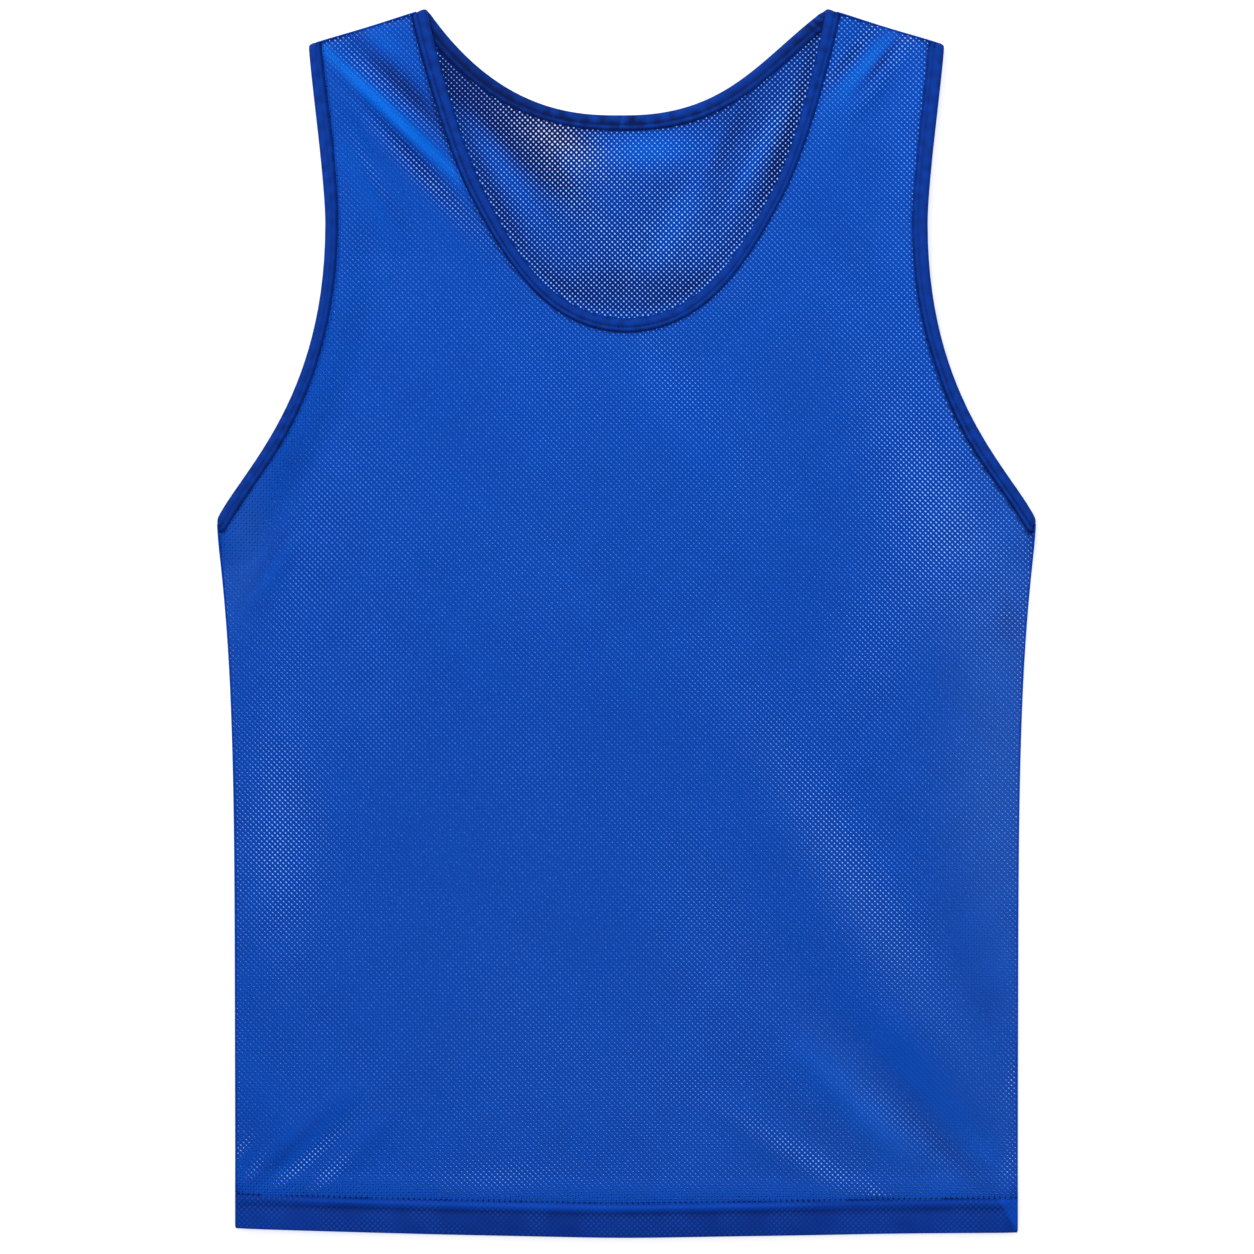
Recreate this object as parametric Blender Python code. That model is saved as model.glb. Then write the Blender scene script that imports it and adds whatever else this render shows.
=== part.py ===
"""Mesh training vest, laid flat on its back.

Two mesh panels lie on each other. The neck and both armholes are bound with a folded strip, and the
hems are turned up inside. X runs across the vest, Y from hem to neck, and Z up off the table, which
is at Z = 0. Every size is in millimetres until a mesh is made.
"""
import bmesh
import bpy
import numpy as np
from mathutils.geometry import delaunay_2d_cdt, interpolate_bezier

MM = 0.001  # one millimetre in metres

# Cloth and seams
CLOTH = 1.1              # wall of a mesh panel
STRIP = 1.0              # wall of the binding strip
GAP = 0.3                # air between neighbouring pieces
BINDING_WIDTH = 9.0      # binding, from its folded edge to its sewn edge
BINDING_CHAMFER = 0.6    # softening of the folded edge
HEM_DEPTH = 20.0         # hem, from the bottom edge to its row of stitches
HEM_PUFF = 0.8           # how far the front hem swells between its stitches and the bottom edge
HEM_PUFF_Y = 15.0        # height of the fullest part of that swelling above the bottom edge

# Outline of the right half; the left half mirrors it but for the hem's corner
TOP = 350.0              # highest point, where neck and shoulder meet
BOTTOM = -350.0          # lowest point of the hem
NECK_X = 114.0           # half the width of the neck at the shoulders
SHOULDER = (181.0, 329.4)
UNDERARM = (233.5, 58.0)
WAIST_X = 222.8          # half width low on the body
UNDERARM_FLARE = 10.7    # extra half width at the underarm
FLARE_FADE = 78.0        # height over which the flare dies away
HEM_RISE_LEFT = 4.6      # the hem's corners lie higher than its middle
HEM_RISE_RIGHT = 2.0

# Cut edges as Bezier knots: x, y, handle before (dx, dy), handle after (dx, dy). The necklines run
# from left to right, and the back one was laid a little askew; the armhole is the right one.
FRONT_NECK = (
    (-NECK_X, TOP, 0.0, 0.0, 2.6, -15.0),
    (-80.4, 244.8, -13.9, 27.1, 13.9, -27.1),
    (0.0, 173.6, -45.3, 0.0, 45.3, 0.0),
    (82.4, 244.8, -14.9, -27.1, 14.9, 27.1),
    (NECK_X, TOP, -2.6, -15.0, 0.0, 0.0),
)
BACK_NECK = (
    (-NECK_X, TOP, 0.0, 0.0, 43.2, -63.1),
    (0.0, 289.2, -23.1, 0.0, 58.4, 0.0),
    (NECK_X, TOP, -37.1, -27.4, 0.0, 0.0),
)
ARMHOLE = (
    (*SHOULDER, 0.0, 0.0, -0.3, -14.5),
    (171.6, 227.0, 0.0, 25.5, 0.0, -102.1),
    (*UNDERARM, -11.8, 26.7, 0.0, 0.0),
)

# Largest folds: start x, y, end x, y, half width, height
FRONT_FOLDS = (
    (-163.0, 320.0, -94.0, 249.0, 8.0, 4.2),
    (-158.0, 262.0, -126.0, 206.0, 9.0, 2.2),
    (156.0, 324.0, 121.0, 284.0, 7.0, 2.4),
    (93.0, -238.0, 179.0, -318.0, 14.0, 3.8),
    (145.0, -215.0, 210.0, -296.0, 11.0, 3.2),
    (42.0, -268.0, 112.0, -322.0, 12.0, 2.2),
    (-206.0, -314.0, -150.0, -260.0, 9.0, 2.4),
    (-172.0, -318.0, -130.0, -276.0, 8.0, 1.8),
    (-222.0, 2.0, -186.0, 52.0, 8.0, 1.8),
    (213.0, 16.0, 176.0, 38.0, 9.0, 1.8),
    (6.0, 158.0, 52.0, 76.0, 16.0, 1.8),
)
BACK_FOLDS = (
    (-14.0, 272.0, 8.0, 226.0, 14.0, 1.2),
    (-74.0, 274.0, -42.0, 218.0, 9.0, 1.2),
    (62.0, 262.0, 38.0, 214.0, 9.0, 1.0),
)
FOLD_FLANKS = (-1.7, -0.8, 0.0, 0.8, 1.7)  # where a fold is cut up across, in half widths
SIDE_CALM = 14.0         # folds die away this near to a side seam

# Colours, linear RGB
MESH_BLUE = (0.010, 0.078, 0.450, 1.0)
BINDING_BLUE = (0.008, 0.040, 0.310, 1.0)
CLOTH_ROUGHNESS = 0.75

# Heights and widths that follow from the cloth
PLY = CLOTH + GAP                      # one layer of mesh and the air above it
WRAP = STRIP + GAP                     # what the binding adds on each side of a panel
HALF_BINDING = CLOTH / 2 + WRAP        # half the height of a bound edge
TURN_REACH = 2 * HALF_BINDING + GAP / 2  # how far a binding bulges where it turns to the back
POCKET = STRIP + GAP                   # from a bound edge to the panel's own edge inside it
CLEAR_OF_BINDING = BINDING_WIDTH + GAP
HEM_RADIUS = PLY / 2                   # of a hem's fold, at the middle of its cloth
HEM_TURN = HEM_RADIUS + CLOTH / 2      # from the hem's bottom edge to where its fold starts
HEM_ROLL = np.pi * HEM_RADIUS          # cloth that the fold takes up
HEM_ALLOWANCE = HEM_DEPTH - HEM_TURN - GAP  # cloth turned up behind the hem
FLAT_BY_EDGE = 10.5                    # a panel is level this far in from a bound edge
SLOPE_END = 32.0                       # and has come down again here
HEM_SLOPE = 26.0                       # from the bottom edge to where the front has come down
NECKS_PART = 285.0                     # below this height only the front neck lies on the back
NECKS_MEET = 325.0                     # above it the front binding lies on the back one

# How finely the pieces are cut up
CURVE_STEPS = 30         # samples between two Bezier knots
FRONT_NECK_STATIONS = 35
BACK_NECK_STATIONS = 25
ARMHOLE_STATIONS = 19
TURN_STEPS = 4           # round the fold at a shoulder or underarm
SHOULDER_STEPS = 4
SIDE_STEPS = 16
HEM_COLUMNS = 23
HEM_HEIGHTS = (40.0, 26.0, HEM_DEPTH, HEM_PUFF_Y, 8.0)  # rows of points above the bottom edge
HEM_ROLL_STEPS = 3
SLOPE_ROWS = (FLAT_BY_EDGE, 17.0, 24.0, SLOPE_END)      # rows of points in from a bound edge
FIELD_SPACING = 25.0     # between points on plain cloth
FOLD_SPACING = 14.0      # between points along a fold
EDGE_CLEARANCE = 6.5     # least distance from a free point to the outline
CROWDING = 0.62          # least distance to other points, as a share of the spacing

MIRROR = np.array((-1.0, 1.0))


def smooth(value, low, high):
    """0 below low, 1 above high, and an S curve between."""
    share = np.clip((value - low) / (high - low), 0.0, 1.0)
    return share * share * (3 - 2 * share)


def unit(vector):
    return np.array(vector) / np.hypot(*vector)


def bezier_line(knots):
    """Points along a chain of Bezier knots."""
    line = []
    for first, last in zip(knots, knots[1:]):
        start = np.array(first[:2])
        end = np.array(last[:2])
        points = interpolate_bezier(start, start + first[4:6], end + last[2:4], end, CURVE_STEPS)
        line += [tuple(point)[:2] for point in points[bool(line):]]
    return np.array(line)


def evenly(line, count):
    """The same line with count points at equal steps."""
    steps = np.hypot(*np.diff(line, axis=0).T)
    along = np.concatenate([[0.0], np.cumsum(steps)])
    wanted = np.linspace(0.0, along[-1], count)
    return np.stack([np.interp(wanted, along, line[:, axis]) for axis in (0, 1)], axis=1)


def distance_to(points, line):
    """Least distance from each point to a line of segments."""
    step = np.diff(line, axis=0)
    offset = points[:, None, :] - line[:-1]
    share = (offset * step).sum(axis=2) / (step * step).sum(axis=1)
    offset = offset - np.clip(share, 0.0, 1.0)[..., None] * step
    return np.sqrt((offset ** 2).sum(axis=2)).min(axis=1)


def side_x(y):
    """Half width of the body below the underarm."""
    return WAIST_X + UNDERARM_FLARE * np.exp((np.minimum(y, UNDERARM[1]) - UNDERARM[1]) / FLARE_FADE)


def hem_y(x):
    """Height of the hem's bottom edge."""
    rise = np.where(x < 0, HEM_RISE_LEFT, HEM_RISE_RIGHT)
    return BOTTOM + rise * (x / WAIST_X) ** 2


# Folds where front turns into back: a point on the fold, the way out over it, the way along it
SHOULDER_ALONG = unit((SHOULDER[0] - NECK_X, SHOULDER[1] - TOP))
SHOULDER_OUT = np.array((-SHOULDER_ALONG[1], SHOULDER_ALONG[0]))
SHOULDER_POINT = np.array(SHOULDER) - SHOULDER_OUT * TURN_REACH
SIDE_ALONG = unit((-UNDERARM_FLARE / FLARE_FADE, -1.0))
SIDE_OUT = np.array((-SIDE_ALONG[1], SIDE_ALONG[0]))
SIDE_POINT = np.array(UNDERARM) - SIDE_OUT * TURN_REACH


def cut_at_fold(line, fold):
    """The part of a line on the vest's side of a fold, ending exactly on it."""
    beyond = (line - fold[0]) @ fold[1]
    last = np.nonzero((beyond[:-1] < 0) != (beyond[1:] < 0))[0][0]
    share = beyond[last] / (beyond[last] - beyond[last + 1])
    crossing = line[last] + share * (line[last + 1] - line[last])
    if beyond[0] < 0:
        return np.vstack([line[:last + 1], crossing])
    return np.vstack([crossing, line[last + 1:]])


def bound_edge(line, start_fold, end_fold, count):
    """Stations along a bound edge, with the panel on its right: their points and the ways in.

    At a fold the way in runs along the fold, so that the strip's end lies on it.
    """
    points = evenly(cut_at_fold(cut_at_fold(line, start_fold), end_fold), count)
    tangent = np.gradient(points, axis=0)
    tangent /= np.hypot(*tangent.T)[:, None]
    inward = np.stack([tangent[:, 1], -tangent[:, 0]], axis=1)
    for index, fold in ((0, start_fold), (-1, end_fold)):
        inward[index] = fold[2] / (fold[2] @ inward[index])
    return points, inward


def neck_edge(line, count):
    right_fold = (SHOULDER_POINT, SHOULDER_OUT, SHOULDER_ALONG)
    left_fold = tuple(vector * MIRROR for vector in right_fold)
    return bound_edge(line, left_fold, right_fold, count)


FRONT_NECK_LINE = bezier_line(FRONT_NECK)
BACK_NECK_LINE = bezier_line(BACK_NECK)
ARMHOLE_LINE = bezier_line(ARMHOLE)
ARMHOLE_LINES = (ARMHOLE_LINE, ARMHOLE_LINE * MIRROR)
FRONT_NECK_EDGE = neck_edge(FRONT_NECK_LINE, FRONT_NECK_STATIONS)
BACK_NECK_EDGE = neck_edge(BACK_NECK_LINE, BACK_NECK_STATIONS)
ARMHOLE_EDGE = bound_edge(
    ARMHOLE_LINE,
    (SHOULDER_POINT, SHOULDER_OUT, -SHOULDER_ALONG),
    (SIDE_POINT, SIDE_OUT, SIDE_ALONG),
    ARMHOLE_STATIONS,
)


def near(points, lines):
    """1 beside a bound edge, falling to 0 where the panel has come down again."""
    distance = np.min([distance_to(points, line) for line in lines], axis=0)
    return 1 - smooth(distance, FLAT_BY_EDGE, SLOPE_END)


def fold_height(points, folds):
    """Sum of long soft ridges, each a bell across and rounded off at both ends."""
    height = np.zeros(len(points))
    for x0, y0, x1, y1, half_width, rise in folds:
        offset = points - (x0, y0)
        along = unit((x1 - x0, y1 - y0))
        length = np.hypot(x1 - x0, y1 - y0)
        place = np.clip(2 * (offset @ along) / length - 1, -1.0, 1.0)
        across = (offset[:, 0] * along[1] - offset[:, 1] * along[0]) / half_width
        height += rise * (1 - place ** 4) ** 2 * np.exp(-across ** 2)
    return height


def back_level(points):
    """Height of the middle of the back panel's cloth; it lies still under the front's neck binding."""
    beside = near(points, (BACK_NECK_LINE, *ARMHOLE_LINES))
    plain = 1 - np.maximum(beside, near(points, (FRONT_NECK_LINE,)))
    return CLOTH / 2 + WRAP * beside + plain * fold_height(points, BACK_FOLDS)


def front_level(points):
    """Height of the middle of the front panel's cloth, which lies on the back panel.

    It rises over the back's bindings, over its own, and over the plies of the hems.
    """
    x, y = points.T
    above_hem = y - hem_y(x)
    beside_arm = near(points, ARMHOLE_LINES)
    beside_neck = near(points, (FRONT_NECK_LINE,))
    beside_hem = 1 - smooth(above_hem, HEM_DEPTH + 2, HEM_DEPTH + HEM_SLOPE)
    wraps_at_neck = 1 + smooth(y, NECKS_PART, NECKS_MEET)
    lift = np.max([2 * WRAP * beside_arm, WRAP * wraps_at_neck * beside_neck, 2 * PLY * beside_hem], axis=0)
    puff = smooth(above_hem, HEM_TURN, HEM_PUFF_Y) * (1 - smooth(above_hem, HEM_PUFF_Y, HEM_DEPTH))
    plain = 1 - np.max([beside_arm, beside_neck, beside_hem], axis=0)
    plain = plain * smooth(side_x(y) - np.abs(x), 0.0, SIDE_CALM)
    return back_level(points) + PLY + lift + HEM_PUFF * puff + plain * fold_height(points, FRONT_FOLDS)


# Rows of a hem's flat pattern, as distances past the line where its fold starts
HEM_ROWS = (
    *(HEM_TURN - height for height in HEM_HEIGHTS),
    *np.linspace(0.0, HEM_ROLL, HEM_ROLL_STEPS + 1),
    HEM_ROLL + HEM_ALLOWANCE,
)


def hem_row(past, x):
    """Points of the flat pattern in one row of the hem."""
    return np.stack([x, hem_y(x) + HEM_TURN - past], axis=1)


def half_outline(side):
    """Outline of a flat pattern past shoulder, armhole and side to the hem; side is 1 or -1."""
    mirror = np.array((side, 1.0))
    neck_points, neck_inward = FRONT_NECK_EDGE
    arm_points, arm_inward = ARMHOLE_EDGE
    tab = SHOULDER_OUT * (TURN_REACH - GAP)
    neck_corner = neck_points[-1] + neck_inward[-1] * CLEAR_OF_BINDING
    tip_corner = arm_points[0] + arm_inward[0] * CLEAR_OF_BINDING
    shoulder = evenly(np.array([neck_corner + tab, tip_corner + tab]), SHOULDER_STEPS + 1)
    armhole = arm_points + arm_inward * POCKET
    side_corner = arm_points[-1] + arm_inward[-1] * CLEAR_OF_BINDING
    first_hem_y = hem_row(HEM_ROWS[0], np.array([side * WAIST_X]))[0, 1]
    side_y = np.linspace(side_corner[1], first_hem_y, SIDE_STEPS + 1)[:-1]
    seam = np.stack([side_x(side_y), side_y], axis=1)
    hem_x = side_x(first_hem_y)
    hem = np.vstack([hem_row(past, np.array([side * hem_x])) for past in HEM_ROWS]) * mirror
    rows = (neck_corner[None], shoulder, tip_corner[None], armhole, side_corner[None], seam, hem)
    return np.vstack(rows) * mirror


def spread(kept, candidates, outline, spacing):
    """Adds the candidates that crowd neither the outline nor the points kept so far."""
    candidates = candidates[distance_to(candidates, outline) > EDGE_CLEARANCE]
    for point in candidates:
        if np.hypot(*(kept - point).T).min() > spacing * CROWDING:
            kept = np.vstack([kept, point])
    return kept


def fold_points(folds):
    """Points along and beside each fold."""
    points = []
    for x0, y0, x1, y1, half_width, rise in folds:
        along = unit((x1 - x0, y1 - y0))
        across = np.array((along[1], -along[0]))
        count = int(np.hypot(x1 - x0, y1 - y0) / FOLD_SPACING)
        crest = np.linspace((x0, y0), (x1, y1), count + 1)
        points += [crest + across * half_width * flank for flank in FOLD_FLANKS]
    return np.vstack(points)


def field_points():
    """A triangular grid over the whole vest."""
    row_step = FIELD_SPACING * np.sqrt(3) / 2
    rows = np.arange(BOTTOM, TOP, row_step)
    columns = np.arange(-UNDERARM[0], UNDERARM[0], FIELD_SPACING)
    x, y = np.meshgrid(columns, rows)
    x = x + FIELD_SPACING / 2 * (np.arange(len(rows)) % 2)[:, None]
    return np.stack([x.ravel(), y.ravel()], axis=1)


def flat_pattern(edge, folds):
    """A panel's flat pattern, hem let down, as points and triangles."""
    neck = edge[0] + edge[1] * POCKET
    right = half_outline(1)
    left = half_outline(-1)
    bottom = hem_row(HEM_ROWS[-1], np.linspace(right[-1, 0], left[-1, 0], HEM_COLUMNS)[1:-1])
    outline = np.vstack([neck, right, bottom, left[::-1]])
    closed = np.vstack([outline, outline[:1]])
    inner = np.vstack([hem_row(past, bottom[:, 0]) for past in HEM_ROWS[:-1]])
    bound = [edge, ARMHOLE_EDGE, tuple(part * MIRROR for part in ARMHOLE_EDGE)]
    for distance in SLOPE_ROWS:
        for points, inward in bound:
            inner = spread(inner, (points + inward * distance)[1:-1], closed, SLOPE_ROWS[0])
    inner = spread(inner, fold_points(folds), closed, FOLD_SPACING)
    inner = spread(inner, field_points(), closed, FIELD_SPACING)
    border = [(index, (index + 1) % len(outline)) for index in range(len(outline))]
    points = np.vstack([outline, inner]).tolist()
    inside_only = 1
    found = delaunay_2d_cdt(points, border, [], inside_only, 1e-6)
    return np.array([tuple(point) for point in found[0]]), found[2]


def panel(name, edge, folds, level, up, material):
    """One mesh panel with its hem turned up; up is 1 if its outer side faces up, or else -1."""
    pattern, triangles = flat_pattern(edge, folds)
    x, y = pattern.T
    fold_line = hem_y(x) + HEM_TURN
    past = np.maximum(fold_line - y, 0.0)
    angle = np.minimum(past, HEM_ROLL) / HEM_RADIUS
    kept_y = np.maximum(y, fold_line)
    rolled_y = kept_y - HEM_RADIUS * np.sin(angle) + np.maximum(past - HEM_ROLL, 0.0)
    rolled_z = level(np.stack([x, kept_y], axis=1)) - up * HEM_RADIUS * (1 - np.cos(angle))
    middle = np.stack([x, rolled_y, rolled_z], axis=1)
    normal = np.stack([np.zeros_like(x), -np.sin(angle), up * np.cos(angle)], axis=1)
    outer = middle + normal * CLOTH / 2
    inner = middle - normal * CLOTH / 2
    count = len(pattern)
    used = {}
    for corners in triangles:
        for start, end in zip(corners, corners[1:] + corners[:1]):
            used[(start, end)] = used.get((start, end), 0) + 1
    border = [edge for edge in used if edge[::-1] not in used]
    faces = [tuple(corners) for corners in triangles]
    faces += [tuple(index + count for index in corners[::-1]) for corners in triangles]
    faces += [(end, start, start + count, end + count) for start, end in border]
    make_object(name, np.vstack([outer, inner]), faces, material)


def strip_section():
    """Section of the binding: distance in from its folded edge, and height over its middle."""
    top = HALF_BINDING
    inner = HALF_BINDING - STRIP
    side = [
        (0.0, top - BINDING_CHAMFER),
        (BINDING_CHAMFER, top),
        (BINDING_WIDTH, top),
        (BINDING_WIDTH, inner),
        (STRIP, inner),
    ]
    return np.array(side + [(distance, -height) for distance, height in side[::-1]])


def laid_rings(edge, level, up):
    """Sections of a binding along an edge, each point moved off the panel that it wraps."""
    distance, height = strip_section().T
    plan = edge[0][:, None, :] + edge[1][:, None, :] * distance[:, None]
    middle = level(plan.reshape(-1, 2)).reshape(plan.shape[:2])
    return np.concatenate([plan, (middle + up * height)[..., None]], axis=2)


def turned_rings(front_end, back_end, out):
    """Sections of a binding where it rolls over a fold from the front to the back."""
    distance, height = strip_section().T
    rings = []
    for share in np.linspace(0.0, 1.0, TURN_STEPS + 1)[1:-1]:
        point, inward = ((1 - share) * front + share * back for front, back in zip(front_end, back_end))
        plan = point + inward * distance[:, None]
        front_z = front_level(plan)
        back_z = back_level(plan)
        radius = (front_z - back_z) / 2 + height
        angle = np.pi * share
        place = plan + out * (radius * np.sin(angle))[:, None]
        z = (front_z + back_z) / 2 + radius * np.cos(angle)
        rings.append(np.column_stack([place, z]))
    return np.array(rings)


def binding(name, front_edge, back_edge, start_out, end_out, material):
    """A closed ring of binding: along the front, over one fold, back along the back, over the other."""
    def station(edge, index):
        return edge[0][index], edge[1][index]

    rings = np.concatenate([
        laid_rings(front_edge, front_level, 1),
        turned_rings(station(front_edge, -1), station(back_edge, -1), end_out),
        laid_rings(back_edge, back_level, -1)[::-1],
        turned_rings(station(front_edge, 0), station(back_edge, 0), start_out)[::-1],
    ])
    count, across = rings.shape[:2]
    faces = []
    for ring in range(count):
        following = (ring + 1) % count
        for corner in range(across):
            beside = (corner + 1) % across
            faces.append((
                ring * across + corner,
                ring * across + beside,
                following * across + beside,
                following * across + corner,
            ))
    make_object(name, rings.reshape(-1, 3), faces, material)


def cloth_material(name, color):
    material = bpy.data.materials.new(name)
    material.use_nodes = True
    shader = material.node_tree.nodes["Principled BSDF"]
    shader.inputs["Base Color"].default_value = color
    shader.inputs["Roughness"].default_value = CLOTH_ROUGHNESS
    shader.inputs["Metallic"].default_value = 0.0
    return material


def make_object(name, points, faces, material):
    """A closed solid with its faces pointing out, under the vest's empty."""
    mesh = bpy.data.meshes.new(name)
    mesh.from_pydata((points * MM).tolist(), [], faces)
    solid = bmesh.new()
    solid.from_mesh(mesh)
    loose = [vert for vert in solid.verts if not vert.link_faces]
    bmesh.ops.delete(solid, geom=loose, context="VERTS")
    bmesh.ops.recalc_face_normals(solid, faces=solid.faces)
    solid.to_mesh(mesh)
    solid.free()
    mesh.materials.append(material)
    obj = bpy.data.objects.new(name, mesh)
    bpy.context.scene.collection.objects.link(obj)
    obj.parent = bpy.data.objects["vest"]


def main():
    for obj in list(bpy.data.objects):
        bpy.data.objects.remove(obj, do_unlink=True)
    vest = bpy.data.objects.new("vest", None)
    bpy.context.scene.collection.objects.link(vest)
    mesh_cloth = cloth_material("eyelet_mesh", MESH_BLUE)
    tricot = cloth_material("tricot_binding", BINDING_BLUE)
    panel("back_panel", BACK_NECK_EDGE, BACK_FOLDS, back_level, -1, mesh_cloth)
    panel("front_panel", FRONT_NECK_EDGE, FRONT_FOLDS, front_level, 1, mesh_cloth)
    binding("neck_binding", FRONT_NECK_EDGE, BACK_NECK_EDGE, SHOULDER_OUT * MIRROR, SHOULDER_OUT, tricot)
    for name, mirror in (("armhole_binding_left", MIRROR), ("armhole_binding_right", (1, 1))):
        edge = tuple(part * mirror for part in ARMHOLE_EDGE)
        binding(name, edge, edge, SHOULDER_OUT * mirror, SIDE_OUT * mirror, tricot)


main()
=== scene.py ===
import bpy
import numpy as np
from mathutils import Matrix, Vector
from mathutils.geometry import interpolate_bezier


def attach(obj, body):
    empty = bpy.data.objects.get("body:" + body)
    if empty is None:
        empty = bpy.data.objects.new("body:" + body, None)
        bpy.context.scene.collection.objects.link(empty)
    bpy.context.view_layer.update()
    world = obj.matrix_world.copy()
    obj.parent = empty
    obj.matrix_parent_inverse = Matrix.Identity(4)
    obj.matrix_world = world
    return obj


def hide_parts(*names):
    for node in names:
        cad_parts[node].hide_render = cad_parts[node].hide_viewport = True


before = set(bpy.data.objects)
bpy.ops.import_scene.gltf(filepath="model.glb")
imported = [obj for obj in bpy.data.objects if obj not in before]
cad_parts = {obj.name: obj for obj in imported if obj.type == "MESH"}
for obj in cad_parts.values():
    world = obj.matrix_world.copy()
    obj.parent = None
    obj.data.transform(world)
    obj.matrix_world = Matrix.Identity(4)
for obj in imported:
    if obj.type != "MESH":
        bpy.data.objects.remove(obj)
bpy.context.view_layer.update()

mm = 0.001                    # every size below is in millimetres until a mesh is made
mirror = np.array((-1.0, 1.0))
lowest = 0.03                 # nothing lies lower over the table than this

# the vest as it was cut and laid: the values of its solids, but for a shorter slope above the hem, and sides
# and a hem that bulge and sag by less than a millimetre
vest = {
    "top": 350.0, "bottom": -350.0, "neckX": 114.0,
    "shoulder": (181.0, 329.4), "underarm": (233.5, 58.0),
    "waistX": 222.8, "flare": 10.7, "flareFade": 78.0,
    "bulge": 0.9, "bulgeDown": 25.0, "lowBulge": 0.3,
    "hemRiseLeft": 4.6, "hemRiseRight": 2.0,
    "hemSags": ((0, 45, -0.75), (156, 60, 0.72), (-150, 60, 0.3)),     # middle x, half width, rise
    "cloth": 1.1, "ply": 1.4, "wrap": 1.3, "turnReach": 3.85,
    "levelBy": 10.5, "slopeEnd": 32.0, "hemDepth": 20.0, "hemSlope": 15.0, "hemRadius": 0.7,
    "necksPart": 285.0, "necksMeet": 325.0, "sideCalm": 14.0,
}
# knots of the cut edges: x, y, handle before, handle after
frontNeckKnots = (
    (-114.0, 350.0, 0.0, 0.0, 2.6, -15.0),
    (-80.4, 244.8, -13.9, 27.1, 13.9, -27.1),
    (0.0, 173.6, -45.3, 0.0, 45.3, 0.0),
    (82.4, 244.8, -14.9, -27.1, 14.9, 27.1),
    (114.0, 350.0, -2.6, -15.0, 0.0, 0.0),
)
backNeckKnots = (
    (-114.0, 350.0, 0.0, 0.0, 43.2, -63.1),
    (0.0, 289.2, -23.1, 0.0, 58.4, 0.0),
    (114.0, 350.0, -37.1, -27.4, 0.0, 0.0),
)
armholeKnots = (
    (181.0, 329.4, 0.0, 0.0, -0.3, -14.5),
    (171.6, 227.0, 0.0, 25.5, 0.0, -102.1),
    (233.5, 58.0, -11.8, 26.7, 0.0, 0.0),
)
# creases that the solids have too: start x, y, end x, y, half width, height
frontFolds = (
    (-163, 320, -94, 249, 8, 4.2), (-158, 262, -126, 206, 9, 2.2), (156, 324, 121, 284, 7, 2.4),
    (93, -238, 179, -318, 14, 3.8), (145, -215, 210, -296, 11, 3.2), (42, -268, 112, -322, 12, 2.2),
    (-206, -314, -150, -260, 9, 2.4), (-172, -318, -130, -276, 8, 1.8), (-222, 2, -186, 52, 8, 1.8),
    (213, 16, 176, 38, 9, 1.8), (6, 158, 52, 76, 16, 1.8),
)
backFolds = (
    (-14, 272, 8, 226, 14, 1.2), (-74, 274, -42, 218, 9, 1.2), (62, 262, 38, 214, 9, 1),
)


# An S curve, 3 s squared less 2 s cubed, where s runs from 0 at low to 1 at high.
def smooth(value, low, high):
    s = np.clip((value - low) / (high - low), 0.0, 1.0)
    return s * s * (3 - 2 * s)


# Sum of bells: rise times e to the minus square of the distance over the half width.
def bells(value, table):
    return sum(rise * np.exp(-((value - middle) / halfWidth) ** 2) for middle, halfWidth, rise in table)


def unit(vector):
    return np.array(vector) / np.hypot(*vector)


# The same points or directions on the vest's other side.
def mirrored(parts):
    return tuple(part * mirror for part in parts)


# How far each point lies along and across a line from a place.
def alongAcross(points, place, way):
    offset = points - place
    return offset @ way, offset[:, 0] * way[1] - offset[:, 1] * way[0]


# The cubic Bezier curve through the knots, as points.
def bezierLine(knots, steps=30):
    line = []
    for first, last in zip(knots, knots[1:]):
        start, end = np.array(first[:2]), np.array(last[:2])
        points = interpolate_bezier(start, start + first[4:6], end + last[2:4], end, steps)
        line += [tuple(point)[:2] for point in points[bool(line):]]
    return np.array(line)


def lengthsAlong(line):
    return np.concatenate([[0.0], np.cumsum(np.linalg.norm(np.diff(line, axis=0), axis=1))])


# The same line with count points at equal steps along it.
def evenly(line, count):
    along = lengthsAlong(line)
    wanted = np.linspace(0.0, along[-1], count)
    return np.stack([np.interp(wanted, along, column) for column in line.T], axis=1)


# Share of a line's length at each x or y (axis 0 or 1), between the line's own points.
def shareAlong(line, axis, at):
    order = np.argsort(line[:, axis])
    shares = lengthsAlong(line) / lengthsAlong(line)[-1]
    return np.interp(at, line[order, axis], shares[order])


# Least distance from each point to a chain of segments, a few thousand points at a time.
def distanceTo(points, line):
    step = np.diff(line, axis=0)
    found = []
    for some in np.array_split(points, len(points) // 8000 + 1):
        offset = some[:, None, :] - line[:-1]
        share = np.clip((offset * step).sum(axis=2) / (step * step).sum(axis=1), 0.0, 1.0)
        found.append(np.sqrt(((offset - share[..., None] * step) ** 2).sum(axis=2)).min(axis=1))
    return np.concatenate(found)


# Half width of the body: the waist's, a flare that dies away down from the underarm, and a small bulge there,
# d e to the minus d.
def sideX(y):
    down = vest["underarm"][1] - np.minimum(y, vest["underarm"][1])
    d = down / vest["bulgeDown"]
    bulge = vest["bulge"] * d * np.exp(1 - d) + vest["lowBulge"] * smooth(down, 150, 300)
    return vest["waistX"] + vest["flare"] * np.exp(-down / vest["flareFade"]) + bulge


# Height of the hem's edge: a parabola, its left corner higher than its right one, and its sags.
def hemY(x):
    rise = np.where(x < 0, vest["hemRiseLeft"], vest["hemRiseRight"])
    return vest["bottom"] + rise * (x / vest["waistX"]) ** 2 + bells(x, vest["hemSags"])


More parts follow.
